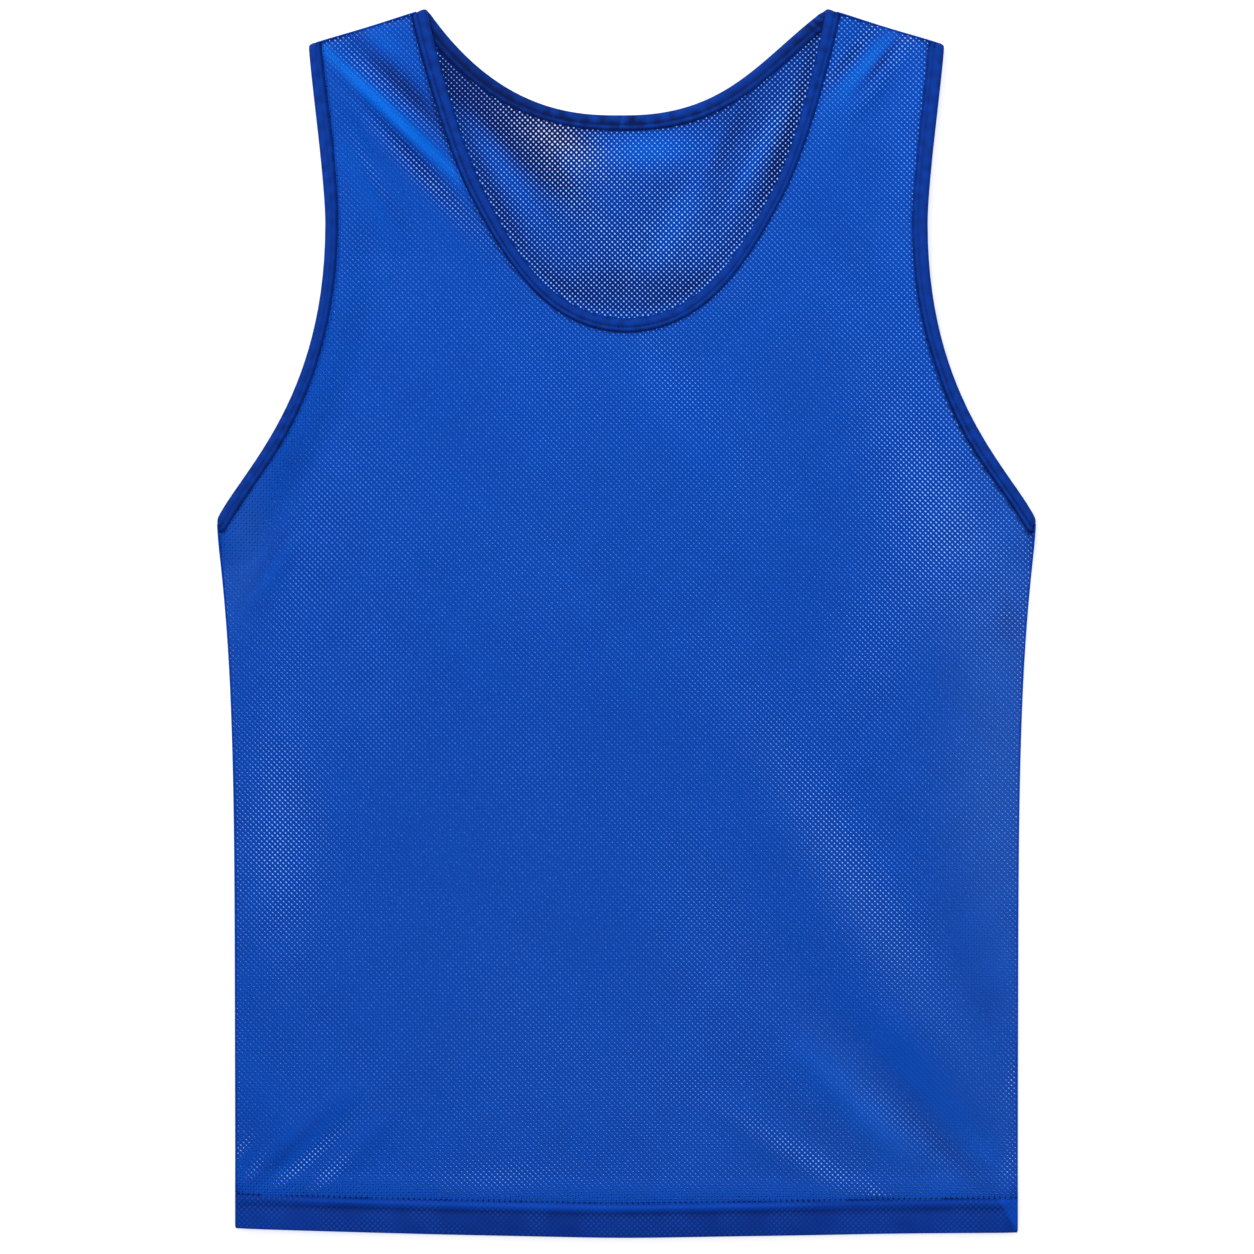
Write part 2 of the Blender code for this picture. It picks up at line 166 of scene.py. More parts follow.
frontNeck, backNeck, armhole = (bezierLine(knots) for knots in (frontNeckKnots, backNeckKnots, armholeKnots))
armholes = (armhole, armhole * mirror)

# folds where front turns into back: the way along each and the way out over it
shoulderAlong = unit(np.array(vest["shoulder"]) - (vest["neckX"], vest["top"]))
shoulderOut = np.array((-shoulderAlong[1], shoulderAlong[0]))
sideAlong = unit((-vest["flare"] / vest["flareFade"], -1.0))
sideOut = np.array((-sideAlong[1], sideAlong[0]))


# How far points lie inside the sides, or the armholes above the underarm, and under the shoulders' line.
def depthInside(points):
    x, y = points.T
    armX = np.interp(y, armhole[::-1, 1], armhole[::-1, 0])
    underTop = (vest["shoulder"] - np.stack([np.abs(x), y], axis=1)) @ shoulderOut
    return np.where(y > vest["underarm"][1], armX, sideX(y)) - np.abs(x), underTop


# distances from the bound edges, worked out once every 2.5 mm
tableStep = 2.5
tableLow = np.array((-245.0, -360.0))
tableCount = (197, 289)


# Least distance to the line at each entry of the table.
def distanceTable(line):
    column, row = np.meshgrid(*(np.arange(count) for count in tableCount), indexing="ij")
    points = np.stack([column.ravel(), row.ravel()], axis=1) * tableStep + tableLow
    return distanceTo(points, line).reshape(tableCount)


# The table read between its four nearest entries, weighted by nearness.
def fromTable(points, table):
    place = np.clip((points - tableLow) / tableStep, 0, np.array(tableCount) - 1.001)
    cell = place.astype(int)
    u, v = (place - cell).T
    i, j = cell.T
    return (table[i, j] * (1 - u) * (1 - v) + table[i + 1, j] * u * (1 - v)
            + table[i, j + 1] * (1 - u) * v + table[i + 1, j + 1] * u * v)


fromFrontNeck, fromBackNeck, fromRightArmhole, fromLeftArmhole = (
    distanceTable(line) for line in (frontNeck, backNeck, *armholes))
fromArmholes = np.minimum(fromRightArmhole, fromLeftArmhole)
fromBackEdges = np.minimum(fromBackNeck, fromArmholes)


# 1 beside a bound edge, 0 from where the cloth has come down again, an S curve between.
def beside(points, table):
    return 1 - smooth(fromTable(points, table), vest["levelBy"], vest["slopeEnd"])


# Sum of ridges: a bell across each, half as wide at its ends, and (1 - place to the 4th) squared along it.
def foldHeight(points, folds):
    height = np.zeros(len(points))
    for x0, y0, x1, y1, halfWidth, rise in folds:
        along, across = alongAcross(points, (x0, y0), unit((x1 - x0, y1 - y0)))
        place = np.clip(2 * along / np.hypot(x1 - x0, y1 - y0) - 1, -1.0, 1.0)
        across = across / (halfWidth * (1 - 0.5 * place ** 2))
        height += rise * (1 - place ** 4) ** 2 * np.exp(-across ** 2)
    return height


# Middle of the back's cloth: on the table, lifted by its bindings' lower halves, with its folds.
def backLevel(points):
    lift = beside(points, fromBackEdges)
    plain = 1 - np.maximum(lift, beside(points, fromFrontNeck))
    return vest["cloth"] / 2 + vest["wrap"] * lift + plain * foldHeight(points, backFolds)


# What the front rises over besides the back's ply: the bindings or hem plies under it, and its own folds.
def frontRise(points):
    x, y = points.T
    besideArm = beside(points, fromArmholes)
    besideNeck = beside(points, fromFrontNeck)
    besideHem = 1 - smooth(y - hemY(x), vest["hemDepth"] + 2, vest["hemDepth"] + vest["hemSlope"])
    neckWraps = 1 + smooth(y, vest["necksPart"], vest["necksMeet"])
    lift = np.max([2 * vest["wrap"] * besideArm, vest["wrap"] * neckWraps * besideNeck,
                   2 * vest["ply"] * besideHem], axis=0)
    plain = 1 - np.max([besideArm, besideNeck, besideHem], axis=0)
    plain = plain * smooth(sideX(y) - np.abs(x), 0.0, vest["sideCalm"])
    return lift, plain * foldHeight(points, frontFolds)


# Middle of the front's cloth: the back's, one ply, and its rise.
def frontLevel(points):
    lift, crease = frontRise(points)
    return backLevel(points) + vest["ply"] + lift + crease


# An sRGB hex value as linear RGBA.
def hexColor(code):
    parts = np.array([int(code[k:k + 2], 16) for k in (1, 3, 5)]) / 255
    return (*np.where(parts <= 0.04045, parts / 12.92, ((parts + 0.055) / 1.055) ** 2.4).tolist(), 1.0)


# Sets a node's inputs to values or hex colours, or links them from a node or one of its outputs.
def setInputs(tree, node, inputs):
    for name, value in inputs.items():
        if isinstance(value, bpy.types.Node):
            value = value.outputs[0]
        if isinstance(value, bpy.types.NodeSocket):
            tree.links.new(value, node.inputs[name])
        else:
            node.inputs[name].default_value = hexColor(value) if isinstance(value, str) else value


def addNode(tree, kind, inputs={}, **settings):
    node = tree.nodes.new("ShaderNode" + kind)
    for name, value in settings.items():
        setattr(node, name, value)
    setInputs(tree, node, inputs)
    return node


# A new material; what is the same all over it goes on the shader's own sockets.
def newMaterial(name, sockets):
    material = bpy.data.materials.new(name)
    material.use_nodes = True
    tree = material.node_tree
    shader = tree.nodes["Principled BSDF"]
    setInputs(tree, shader, sockets)
    return material, tree, shader


# A new object at the origin.
def newObject(name, data):
    made = bpy.data.objects.new(name, data)
    bpy.context.scene.collection.objects.link(made)
    return made


# Cosine waves one eyelet pitch long along i and along j, and their sum.
def latticeWaves(tree):
    lattice = addNode(tree, "UVMap", uv_map="lattice")      # one unit is one eyelet pitch, 2.2 mm
    split = addNode(tree, "SeparateXYZ", {0: lattice})
    waves = []
    for axis in (0, 1):
        turn = addNode(tree, "Math", {0: split.outputs[axis], 1: 2 * np.pi}, operation="MULTIPLY")
        waves.append(addNode(tree, "Math", {0: turn}, operation="COSINE"))
    return lattice, waves, addNode(tree, "Math", {0: waves[0], 1: waves[1]}, operation="ADD")


# The piece's tone attribute, which holds its own tone and painted light and shade, and patches of noise;
# patches are the noise's scale, its detail and its whole spread.
def patchedTone(tree, place, patches, clamp=True):
    scale, detail, spread = patches
    noise = addNode(tree, "TexNoise", {"Vector": place, "Scale": scale, "Detail": detail})
    uneven = addNode(tree, "Math", {0: noise.outputs["Fac"], 1: spread, 2: -spread / 2},
                     operation="MULTIPLY_ADD")
    tone = addNode(tree, "Attribute", attribute_name="tone")
    return addNode(tree, "Math", {0: tone.outputs["Fac"], 1: uneven}, operation="ADD", use_clamp=clamp)


# Polyester warp-knit eyelet mesh, 110 g/m2, dyed royal blue: filament yarn gives it a soft sheen, the
# knitted threads between the eyelets stand up as rounded ribs, and its blue runs from slack to tight by the
# tone attribute, which holds painted sheen and painted shade as well as uneven dye and tension.
meshFinish = {
    "slackAndShadedBlue": "#001356", "evenBlue": "#0046b0", "tightAndLitBlue": "#0068da", "evenAt": 0.45,
    "paleSheenBlue": "#5d93ce",
    "plain": {"Roughness": 0.6, "Specular IOR Level": 0.06, "Sheen Weight": 0.03, "Sheen Roughness": 0.4,
              "Sheen Tint": "#2a6cff"},
    "patches": (25.0, 2.0, 0.08),        # uneven dye and tension, patches of 40 mm
    "rimSheenJ": 0.11, "rimSheenI": 0.04, "ribHeight": 0.12, "loopHeight": 0.05, "loopsPerPitch": 4.0,
}


def eyeletMeshKnit():
    material, tree, shader = newMaterial("eyeletMeshKnit", meshFinish["plain"])
    lattice, waves, ribs = latticeWaves(tree)
    ribs = addNode(tree, "MapRange", {"Value": ribs, "From Min": 1.6, "From Max": -1.2})
    coords = addNode(tree, "TexCoord")
    share = patchedTone(tree, coords.outputs["Object"], meshFinish["patches"], clamp=False)
    # painted sheen on the eyelets' rims, most along j, so the yarn is paler there than at the crossings
    for wave, contrast in zip(waves, (meshFinish["rimSheenJ"], meshFinish["rimSheenI"])):
        share = addNode(tree, "Math", {0: wave, 1: contrast, 2: share}, operation="MULTIPLY_ADD")
    blue = addNode(tree, "ValToRGB", {0: share})
    stops = blue.color_ramp.elements
    stops[0].color, stops[1].color = hexColor(meshFinish["slackAndShadedBlue"]), hexColor(meshFinish["tightAndLitBlue"])
    stops.new(meshFinish["evenAt"]).color = hexColor(meshFinish["evenBlue"])
    # painted sheen, a paler and greyer blue, stronger to the sides
    paleSheen = addNode(tree, "Attribute", attribute_name="paleSheen")
    sheenMixed = addNode(tree, "Mix", {0: paleSheen.outputs["Fac"], 6: blue, 7: meshFinish["paleSheenBlue"]},
                     data_type="RGBA")
    # knit loops along the threads: 0.55 mm each, four to a pitch
    loops = addNode(tree, "VectorMath", {0: lattice, 1: (meshFinish["loopsPerPitch"],) * 3},
                    operation="MULTIPLY")
    loopWave = addNode(tree, "TexWave", {"Vector": loops, "Scale": 0.32, "Distortion": 1.2},
                       wave_type="BANDS", bands_direction="DIAGONAL")
    rib = addNode(tree, "Bump", {"Height": ribs, "Distance": meshFinish["ribHeight"] * mm, "Strength": 0.8})
    loop = addNode(tree, "Bump", {"Height": loopWave.outputs["Fac"], "Strength": 0.6, "Normal": rib,
                                  "Distance": meshFinish["loopHeight"] * mm})
    setInputs(tree, shader, {"Base Color": sheenMixed.outputs[2], "Normal": loop})
    return material


# The same mesh turned up double, in painted light and shade: little light comes up through two plies, so it
# is painted a deeper blue, with a painted highlight on its ridge; its eyelets are only faint pale dots where
# the ply behind catches the light.
hemFinish = {
    "shadedDeepBlue": "#00206a", "ridgeHighlightBlue": "#0444b4", "dotBlue": "#1a50b6", "dimple": 0.05,
    "plain": {"Roughness": 0.6, "Specular IOR Level": 0.06},
    "patches": (33.0, 2.0, 0.3),         # the two plies bed together unevenly, in patches of 30 mm
}


def turnedHemMesh():
    material, tree, shader = newMaterial("turnedHemMesh", hemFinish["plain"])
    lattice, waves, dots = latticeWaves(tree)
    spot = addNode(tree, "MapRange", {"Value": dots, "From Min": -0.2, "From Max": 1.7, "To Max": 0.5})
    # the dots fade in and out in patches of 20 mm
    coords = addNode(tree, "TexCoord")
    clear = addNode(tree, "TexNoise", {"Vector": coords.outputs["Object"], "Scale": 50.0, "Detail": 1.0})
    clear = addNode(tree, "MapRange", {"Value": clear.outputs["Fac"], "From Min": 0.4, "From Max": 0.6,
                                       "To Min": 0.25})
    spot = addNode(tree, "Math", {0: spot, 1: clear}, operation="MULTIPLY")
    share = patchedTone(tree, coords.outputs["Object"], hemFinish["patches"])
    blue = addNode(tree, "Mix", {0: share, 6: hemFinish["shadedDeepBlue"], 7: hemFinish["ridgeHighlightBlue"]},
                   data_type="RGBA")
    dotted = addNode(tree, "Mix", {0: spot, 6: blue.outputs[2], 7: hemFinish["dotBlue"]}, data_type="RGBA")
    bump = addNode(tree, "Bump", {"Height": dots, "Strength": 0.6, "Distance": -hemFinish["dimple"] * mm})
    setInputs(tree, shader, {"Base Color": dotted.outputs[2], "Normal": bump})
    return material


# Polyester tricot strip, knitted close and folded double: fine wales run along it, drawn 0.8 mm apart where
# the real ones are 0.4 mm, because closer ones don't show; the nap is duller and deeper than the mesh.
tricotFinish = {
    "deepBlue": "#001752", "paleBlue": "#0040ac", "waleGap": 0.8, "waleHeight": 0.05,
    "plain": {"Roughness": 0.65, "Specular IOR Level": 0.08, "Sheen Weight": 0.03, "Sheen Tint": "#2a5cff"},
    "patches": (0.16, 3.0, 0.5),         # cloudy along and across the strip, in patches of 6 mm
}


def tricotStrip():
    material, tree, shader = newMaterial("tricotStrip", tricotFinish["plain"])
    strip = addNode(tree, "UVMap", uv_map="strip")          # millimetres along and across the strip
    share = patchedTone(tree, strip, tricotFinish["patches"])
    blue = addNode(tree, "Mix", {0: share, 6: tricotFinish["deepBlue"], 7: tricotFinish["paleBlue"]},
                   data_type="RGBA")
    wales = addNode(tree, "TexWave", {"Vector": strip, "Distortion": 0.4, "Detail": 1.0,
                                      "Scale": 1 / (np.pi * tricotFinish["waleGap"])},
                    wave_type="BANDS", bands_direction="Y")
    bump = addNode(tree, "Bump", {"Height": wales.outputs["Fac"], "Strength": 0.7,
                                  "Distance": tricotFinish["waleHeight"] * mm})
    setInputs(tree, shader, {"Base Color": blue.outputs[2], "Normal": bump})
    return material


# Spun polyester thread dyed to match, with painted shade: it lies sunk in the cloth, so it is painted a shade
# darker.
threadFinish = {"darkBlue": "#04144a", "paleBlue": "#0a2a76",
                "plain": {"Roughness": 0.7, "Specular IOR Level": 0.1}}


def spunThread():
    material, tree, shader = newMaterial("spunThread", threadFinish["plain"])
    # twist of the thread, turns of about 1 mm
    coords = addNode(tree, "TexCoord")
    twist = addNode(tree, "TexNoise", {"Vector": coords.outputs["Object"], "Scale": 1000.0, "Detail": 1.0})
    blue = addNode(tree, "Mix", {0: twist.outputs["Fac"], 6: threadFinish["darkBlue"],
                                 7: threadFinish["paleBlue"]}, data_type="RGBA")
    setInputs(tree, shader, {"Base Color": blue.outputs[2]})
    return material


meshCloth, hemCloth, tricot, thread = eyeletMeshKnit(), turnedHemMesh(), tricotStrip(), spunThread()
print("materials made")


# Puts points in millimetres, quads and the lids of a tube's ends into a smooth mesh that rides on the vest.
def addPiece(name, points, quads, material, uv=None, tone=None, node=None, uvName="lattice", lids=(),
             paleSheen=None):
    mesh = bpy.data.meshes.new(name)
    mesh.from_pydata(points * mm, [], quads.tolist() + [list(lid) for lid in lids])
    if uv is not None:
        corners = np.concatenate([quads.ravel(), *(np.array(lid) for lid in lids)]).astype(int)
        mesh.uv_layers.new(name=uvName).data.foreach_set("uv", uv[corners].ravel())
    for kind, values in (("tone", tone), ("paleSheen", paleSheen)):
        if values is not None:
            mesh.attributes.new(kind, "FLOAT", "POINT").data.foreach_set("value", values)
    mesh.shade_smooth()
    mesh.materials.append(material)
    piece = newObject(name, mesh)
    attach(piece, "root")
    if node:
        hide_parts(node)
    return piece


# Quads between neighbours on a grid of rows by columns; a closed side joins its last to its first.
def gridQuads(rows, columns, closeRows=False, closeColumns=False):
    r, c = np.indices((rows - (not closeRows), columns - (not closeColumns)))
    nextR, nextC = (r + 1) % rows, (c + 1) % columns
    corners = (r * columns + c, r * columns + nextC, nextR * columns + nextC, nextR * columns + c)
    return np.stack([corner.ravel() for corner in corners], axis=1)


# A closed shape's quads, turned round if its signed volume is negative.
def outward(points, quads):
    a, b, c, d = (points[quads[:, k]] for k in range(4))
    volume = (np.cross(b - a, c - a) * a).sum() + (np.cross(c - a, d - a) * a).sum()
    return quads if volume > 0 else quads[:, ::-1]


# Whether a tube's first lid, in this order of corners, faces away from the tube.
def facesOut(points, quads, lid):
    normal = np.cross(points[lid[1]] - points[lid[0]], points[lid[2]] - points[lid[0]])
    return normal @ (points[lid].mean(axis=0) - points[quads].mean(axis=(0, 1))) > 0


# the nets: eyelets on a lattice turned 45 degrees
net = {
    "pitch": 2.2,                               # between neighbouring eyelets
    "frontEyelet": 0.68, "backEyelet": 0.82,    # side of an eyelet
    # shares wider where the net is stretched open, and narrower where it is drawn shut
    "openFront": 0.34, "openBack": 0.12, "shutFront": 0.5,
    "crest": 3.0, "crestShut": 0.3,             # and narrower on the crest of a crease this high
    "neckEyelet": -0.26, "openNeck": 0.56,      # change of the back's inside the neck, and where open there
    # the back's eyelets lie this share of a pitch off the front's, this way from the i axis, in radians
    "offset": 0.262, "offsetWander": 0.02, "offsetTurn": 0.3, "turnWander": 0.18,
    "drawn": 0.06, "uneven": 0.06,              # how much longer along j they are, spread of their sizes
    "tuck": 4.4, "hemTuck": 18.2,               # the net ends this far in from bound edges and the hem's
    "edge": 0.45, "spare": 1.8,                 # and from the sides; cells this far past are drawn in
    "split": -20.0,                             # upper and lower piece part here
    "squeeze": 0.6, "squeezeFrom": 6.0,         # share and reach of the front's drawing down to the seams,
    "seamLevel": 0.8,                           # which lie this high over the back
    "follows": 0.75, "backWaves": 0.3,          # share of the front's creases and waves that the back has
    # tone from slack to tight blue, and its changes, most of them painted light, shade and shadow
    "tone": 0.44, "neckInsideShade": -0.18, "paintedTopLight": 0.06, "sheenAndShade": 0.7, "waveLightAndShade": 0.07, "openTone": -0.08,
    "edgeShadow": -0.3, "backEdgeShadow": -0.2, "neckShade": -0.12, "neckShadeReach": 7.0,
}
# where front and back eyelets lie over each other, so that the table shows through, or are shut (below 0):
# middle x, y, half length, half width, direction in degrees, strength
openSpots = (
    (178, 68, 74, 30, -68, 0.76), (146, 0, 60, 26, -110, 0.35), (-198, -120, 70, 22, 90, 0.78),
    (-184, 40, 60, 20, 75, 0.3), (130, -140, 90, 20, -58, 0.62), (208, -100, 100, 20, 90, 0.15),
    (-10, -270, 210, 60, 0, 0.15), (-150, -30, 90, 40, 90, 0.14), (141, -326, 8, 4, -45, 0.8),
    (219, -262, 14, 4, 70, 0.35), (216, -312, 16, 4, 75, 0.35), (0, -320, 240, 14, 0, 0.12),
    (52, -190, 70, 34, -60, 0.2), (98, -304, 50, 7, -31, 0.75), (150, -282, 40, 9, -40, 0.5),
    (-184.5, -307.5, 26, 3.6, 42, 0.9), (-168.5, -312.5, 17, 4.2, 46, 0.85),
    (-218.5, -298.5, 8, 2.4, 50, 0.55), (-212, -311.5, 11, 2.4, 58, 0.55), (-78, -318, 34, 8, 4, 0.4),
    (-137, 305.8, 42, 5.4, -44, 1), (-118, 258, 46, 6, -48, 0.95), (-148, 262, 30, 3, -62, 0.4),
    (128, 322, 22, 4.5, 50, 0.9), (149, 316, 26, 4, 54, 1), (24, 138, 34, 16, -58, 0.35),
    (200, -200, 46, 16, -80, -0.3), (160, -256, 46, 10, -46, -0.3),
)
# where eyelets are drawn longer along j, or along i (below 0), on both nets and in the neck's back
frontDrawn = (
    (-138, 284, 66, 30, -45, 0.24), (-137, 305, 46, 7, -44, 0.16), (134, 290, 56, 30, 70, 0.1),
    (175, 10, 130, 40, -76, 0.12), (-190, 60, 70, 36, 90, 0.12),
)
backDrawn = (
    (-84, 268, 50, 24, -55, 0.2), (66, 266, 50, 22, 62, -0.28), (0, 212, 50, 22, 0, 0.1),
)
# where the back lies off the front in another direction
backTurns = (
    (-10, -270, 150, 80, 0, 0.42), (168, -30, 160, 44, -82, -0.25), (-195, 70, 70, 40, 90, -0.22),
    (-30, 20, 110, 50, 90, 0.12),
)
# painted sheen that makes the front paler and greyer
frontPaleSheen = (
    (216, -80, 170, 38, 90, 0.09), (140, -300, 110, 36, 0, 0.03), (149, -187, 110, 14, -57, 0.035),
    (131, -259, 55, 14, -49, 0.04), (-218, 40, 45, 14, 80, 0.07), (-60, -200, 160, 140, 0, 0.02),
)
# painted sheen on the crests of the front's creases and painted shade on their flanks, in the same columns
frontSheenAndShade = (
    (-137, 292.8, 62, 3.2, -43.6, 0.98), (-139, 279, 50, 4, -45, 0.16), (-125, 304, 40, 6.5, -46, -0.5),
    (-140, 332, 14, 6, -40, 0.28), (-119, 261, 44, 6, -48, -0.48), (-153, 262, 26, 7, -60, 0.14),
    (-140, 246, 32, 4, -56, -0.12), (137, 319, 28, 4.5, 48, 0.5), (144.5, 319, 18, 3, 52, -0.52),
    (127, 322, 20, 3.5, 52, -0.28), (120, 284, 30, 12, 60, 0.1), (159, -270, 52, 9, -47, -0.08),
    (107, -286, 48, 8, -41, -0.06), (134, -276, 50, 8, -44, 0.14), (204, -215, 20, 10, -60, -0.05),
    (183, -300, 36, 6, -46, -0.12), (198, -292, 36, 6, -50, 0.08), (218, 2, 16, 7, 100, -0.2),
    (-194, -302, 34, 3.6, 45, -0.14), (-184, -300, 34, 3.6, 45, 0.12), (-206, 32, 26, 3.6, 55, -0.14),
    (-198, 36, 26, 3.6, 55, 0.1), (30, 118, 60, 18, -58, 0.06),
)
# and the same painted sheen and shade on the back as it shows in the neck
backSheenAndShade = (
    (-86, 304, 30, 12, -36, -0.4), (-54, 268, 34, 8.5, -46, -0.62), (-80, 234, 36, 10, -60, -0.2),
    (-42, 282, 26, 9, -28, -0.42), (-66, 252, 34, 6, -52, 0.22), (14, 270, 30, 11, 4, 0.6),
    (-8, 240, 22, 16, 0, 0.1), (36, 240, 44, 8, 58, 0.26), (56, 270, 26, 5, 62, -0.3),
    (72, 262, 30, 4, 62, 0.3), (88, 258, 46, 7, 72, -0.34), (0, 192, 60, 12, 0, -0.22),
)
# and where the back's eyelets are open or shut there
backOpenSpots = (
    (-40, 276, 34, 13, -30, 0.9), (-34, 246, 30, 10, -46, 0.5), (88, 284, 34, 9, 62, 0.55),
    (20, 212, 60, 26, 20, 0.35), (-100, 270, 40, 12, -75, -0.5),
)


# Sum of long bells, each turned to its direction.
def spots(points, table):
    total = np.zeros(len(points))
    for x, y, halfLength, halfWidth, degrees, strength in table:
        way = np.array((np.cos(np.radians(degrees)), np.sin(np.radians(degrees))))
        along, across = alongAcross(points, (x, y), way)
        total += strength * np.exp(-(along / halfLength) ** 2 - (across / halfWidth) ** 2)
    return total


# Slow wander of the laid cloth: two slanting sine waves for each axis, up to 1.5 mm.
def drift(points):
    x, y = points.T
    return np.stack([1.0 * np.sin(y / 61 + x / 140) + 0.5 * np.sin(x / 47 - y / 90),
                     0.9 * np.sin(x / 67 + 1.0) + 0.5 * np.sin(y / 52 + x / 75)], axis=1)


# rows are one step along i and along j in the plan: x = (i - j) pitch / root 2, y = (i + j) pitch / root 2
toPlan = np.array(((1, 1), (-1, 1))) * net["pitch"] / 2 ** 0.5


# The lattice's i and j of points in the plan.
def toLattice(points):
    return points @ np.array(((1, -1), (1, 1))) / (net["pitch"] * 2 ** 0.5)


# Eyelets at whole i and j. Each has 4 points on the slant; quads join it to the next along i, along j and at
# the crossing. Points past sides and shoulders are drawn in to them, and quads wholly past them are left out.
def latticeNet(inside, eyeletSide, shift):
    reach = int((abs(vest["bottom"]) + vest["underarm"][0]) / (net["pitch"] * 2 ** 0.5)) + 2
    i, j = np.meshgrid(np.arange(-reach, reach), np.arange(-reach, reach), indexing="ij")
    cells = np.stack([i.ravel(), j.ravel()], axis=1)
    centre = cells @ toPlan
    kept = inside(centre + drift(centre) + shift(centre))
    uneven = np.random.default_rng(5).normal(1.0, net["uneven"], (kept.sum(), 1))
    side = eyeletSide(centre[kept]) * uneven / net["pitch"] / 2
    corners = np.array(((-1, -1), (1, -1), (1, 1), (-1, 1)))
    lattice = (cells[kept][:, None, :] + corners * side[:, None, :]).reshape(-1, 2)
    number = np.full(len(cells), -1)
    number[kept] = np.arange(kept.sum())
    number = number.reshape(i.shape)
    here, right, up, across = number[:-1, :-1], number[1:, :-1], number[:-1, 1:], number[1:, 1:]

    def quads(*wanted):
        whole = np.all([cell >= 0 for cell, corner in wanted], axis=0)
        return np.stack([cell[whole] * 4 + corner for cell, corner in wanted], axis=1)

    faces = np.vstack([quads((here, 1), (right, 0), (right, 3), (here, 2)),
                       quads((here, 3), (here, 2), (up, 1), (up, 0)),
                       quads((here, 2), (right, 3), (across, 0), (up, 1))])
    plan = lattice @ toPlan
    plan = plan + drift(plan) + shift(plan)
    x, y = plan.T
    pastSide = np.maximum(np.abs(x) - (sideX(y) - net["edge"]), 0.0) * (y < vest["underarm"][1] + 3)
    pastTop = np.maximum(net["edge"] - depthInside(plan)[1], 0.0)
    drawnIn = (pastSide > 0) | (pastTop > 0)
    inward = np.sign(x) * (pastSide + pastTop * shoulderOut[0])
    plan = plan - np.stack([inward, pastTop * shoulderOut[1]], axis=1)
    return lattice, plan, faces[~drawnIn[faces].all(axis=1)]


# A test for the panel's flat plan: under the neckline and shoulder, inside armholes and sides, over the hem.
def insidePanel(neckLine):

    def test(points):
        x, y = points.T
        inSide, underTop = depthInside(points)
        neckY = np.interp(x, neckLine[:, 0], neckLine[:, 1])
        ok = (inSide > np.where(y > vest["underarm"][1], 0, -net["spare"])) & (underTop > -net["spare"])
        ok &= (y - hemY(x) > net["hemTuck"]) & ((np.abs(x) > vest["neckX"]) | (y < neckY))
        tucked = np.min([distanceTo(points[ok], line) for line in (neckLine, *armholes)], axis=0)
        ok[ok] = tucked > net["tuck"]
        return ok

    return test


# Small waves that the cloth keeps from being folded: slanting sines, stronger to the sides and hem.
def fineFolds(points):
    x, y = points.T
    edgeward = 0.35 + 0.65 * smooth(np.abs(x), 60.0, 220.0)
    waves = 0.22 * np.sin((x + 0.8 * y) / 7.5 + 1.3 * np.sin(y / 60)) * np.sin((x - y) / 53)
    waves += 0.18 * np.sin((0.9 * x - y) / 6.1 + 1.1 * np.sin(x / 71)) * np.sin((x + y) / 67 + 1)
    return waves * edgeward


# 1 inside the front neckline, where the back shows.
def neckOpen(points):
    x, y = points.T
    over = smooth(y - np.interp(x, frontNeck[:, 0], frontNeck[:, 1]), -4, 8)
    return np.where(np.abs(x) < vest["neckX"], over, 0.0)


# 1 where the net is stretched open, 0 where it lies as knitted, below 0 where it is drawn shut.
def stretchedOpen(points):
    return np.minimum(spots(points, openSpots), 1.0)


# An eyelet's sides along i and j.
def sides(side, drawn):
    return np.stack([side * (1 - drawn), side * (1 + drawn)], axis=1)


# The front's eyelets: wider where stretched open, narrower on the crests of creases.
def frontEyelet(points):
    crest = np.clip(foldHeight(points, frontFolds) / net["crest"], 0, 1)
    stretch = stretchedOpen(points)
    wide = net["openFront"] * np.maximum(stretch, 0) + net["shutFront"] * np.minimum(stretch, 0)
    drawn = net["drawn"] + spots(points, frontDrawn)
    return sides(net["frontEyelet"] * (1 + wide - net["crestShut"] * crest), drawn)


# The back's: as the front's, but by the neck's own spots inside the neckline.
def backEyelet(points):
    bare = neckOpen(points)
    inNeck = net["neckEyelet"] + net["openNeck"] * np.minimum(spots(points, backOpenSpots), 1.0)
    under = net["openBack"] * np.maximum(stretchedOpen(points), 0)
    drawn = (net["drawn"] + spots(points, frontDrawn)) * (1 - bare) + bare * spots(points, backDrawn)
    return sides(net["backEyelet"] * (1 + bare * inNeck + (1 - bare) * under), drawn)


# The back lies a share of a pitch off the front, mostly along i, so that slivers of its eyelets show as fine
# dashes along j, and right under it at the open spots.
def backShift(points):
    x, y = points.T
    wander = net["offsetWander"] * np.sin(x / 23 + y / 41) * np.sin(y / 37 - x / 59)
    share = (net["offset"] + wander) * (1 - stretchedOpen(points))
    angle = net["offsetTurn"] + spots(points, backTurns) + net["turnWander"] * (
        np.sin(x / 43 + 1.4 * np.sin(y / 71)) * np.sin(y / 57 + 1.1 * np.sin(x / 83)))
    return share[:, None] * (np.stack([np.cos(angle), np.sin(angle)], axis=1) @ toPlan)


# The front's net has the panel's level and its fine waves, and is drawn down to the seams beside them.
def frontHeight(points):
    z = frontLevel(points) + fineFolds(points)
    inSide, underTop = depthInside(points)
    fromSeam = np.minimum(np.where(points[:, 1] < vest["underarm"][1], inSide, np.inf), underTop)
    share = 1 - smooth(fromSeam, 0.0, net["squeezeFrom"])
    return z + (backLevel(points) + net["seamLevel"] - z) * share * net["squeeze"]


# The back is creased along with the front, not quite as high, and has weaker waves of its own.
def backHeight(points):
    crease = frontRise(points)[1] * (1 - neckOpen(points))
    waves = net["backWaves"] * np.maximum(fineFolds(points[:, ::-1] * 0.9), -0.2)
    return backLevel(points) + net["follows"] * crease + waves
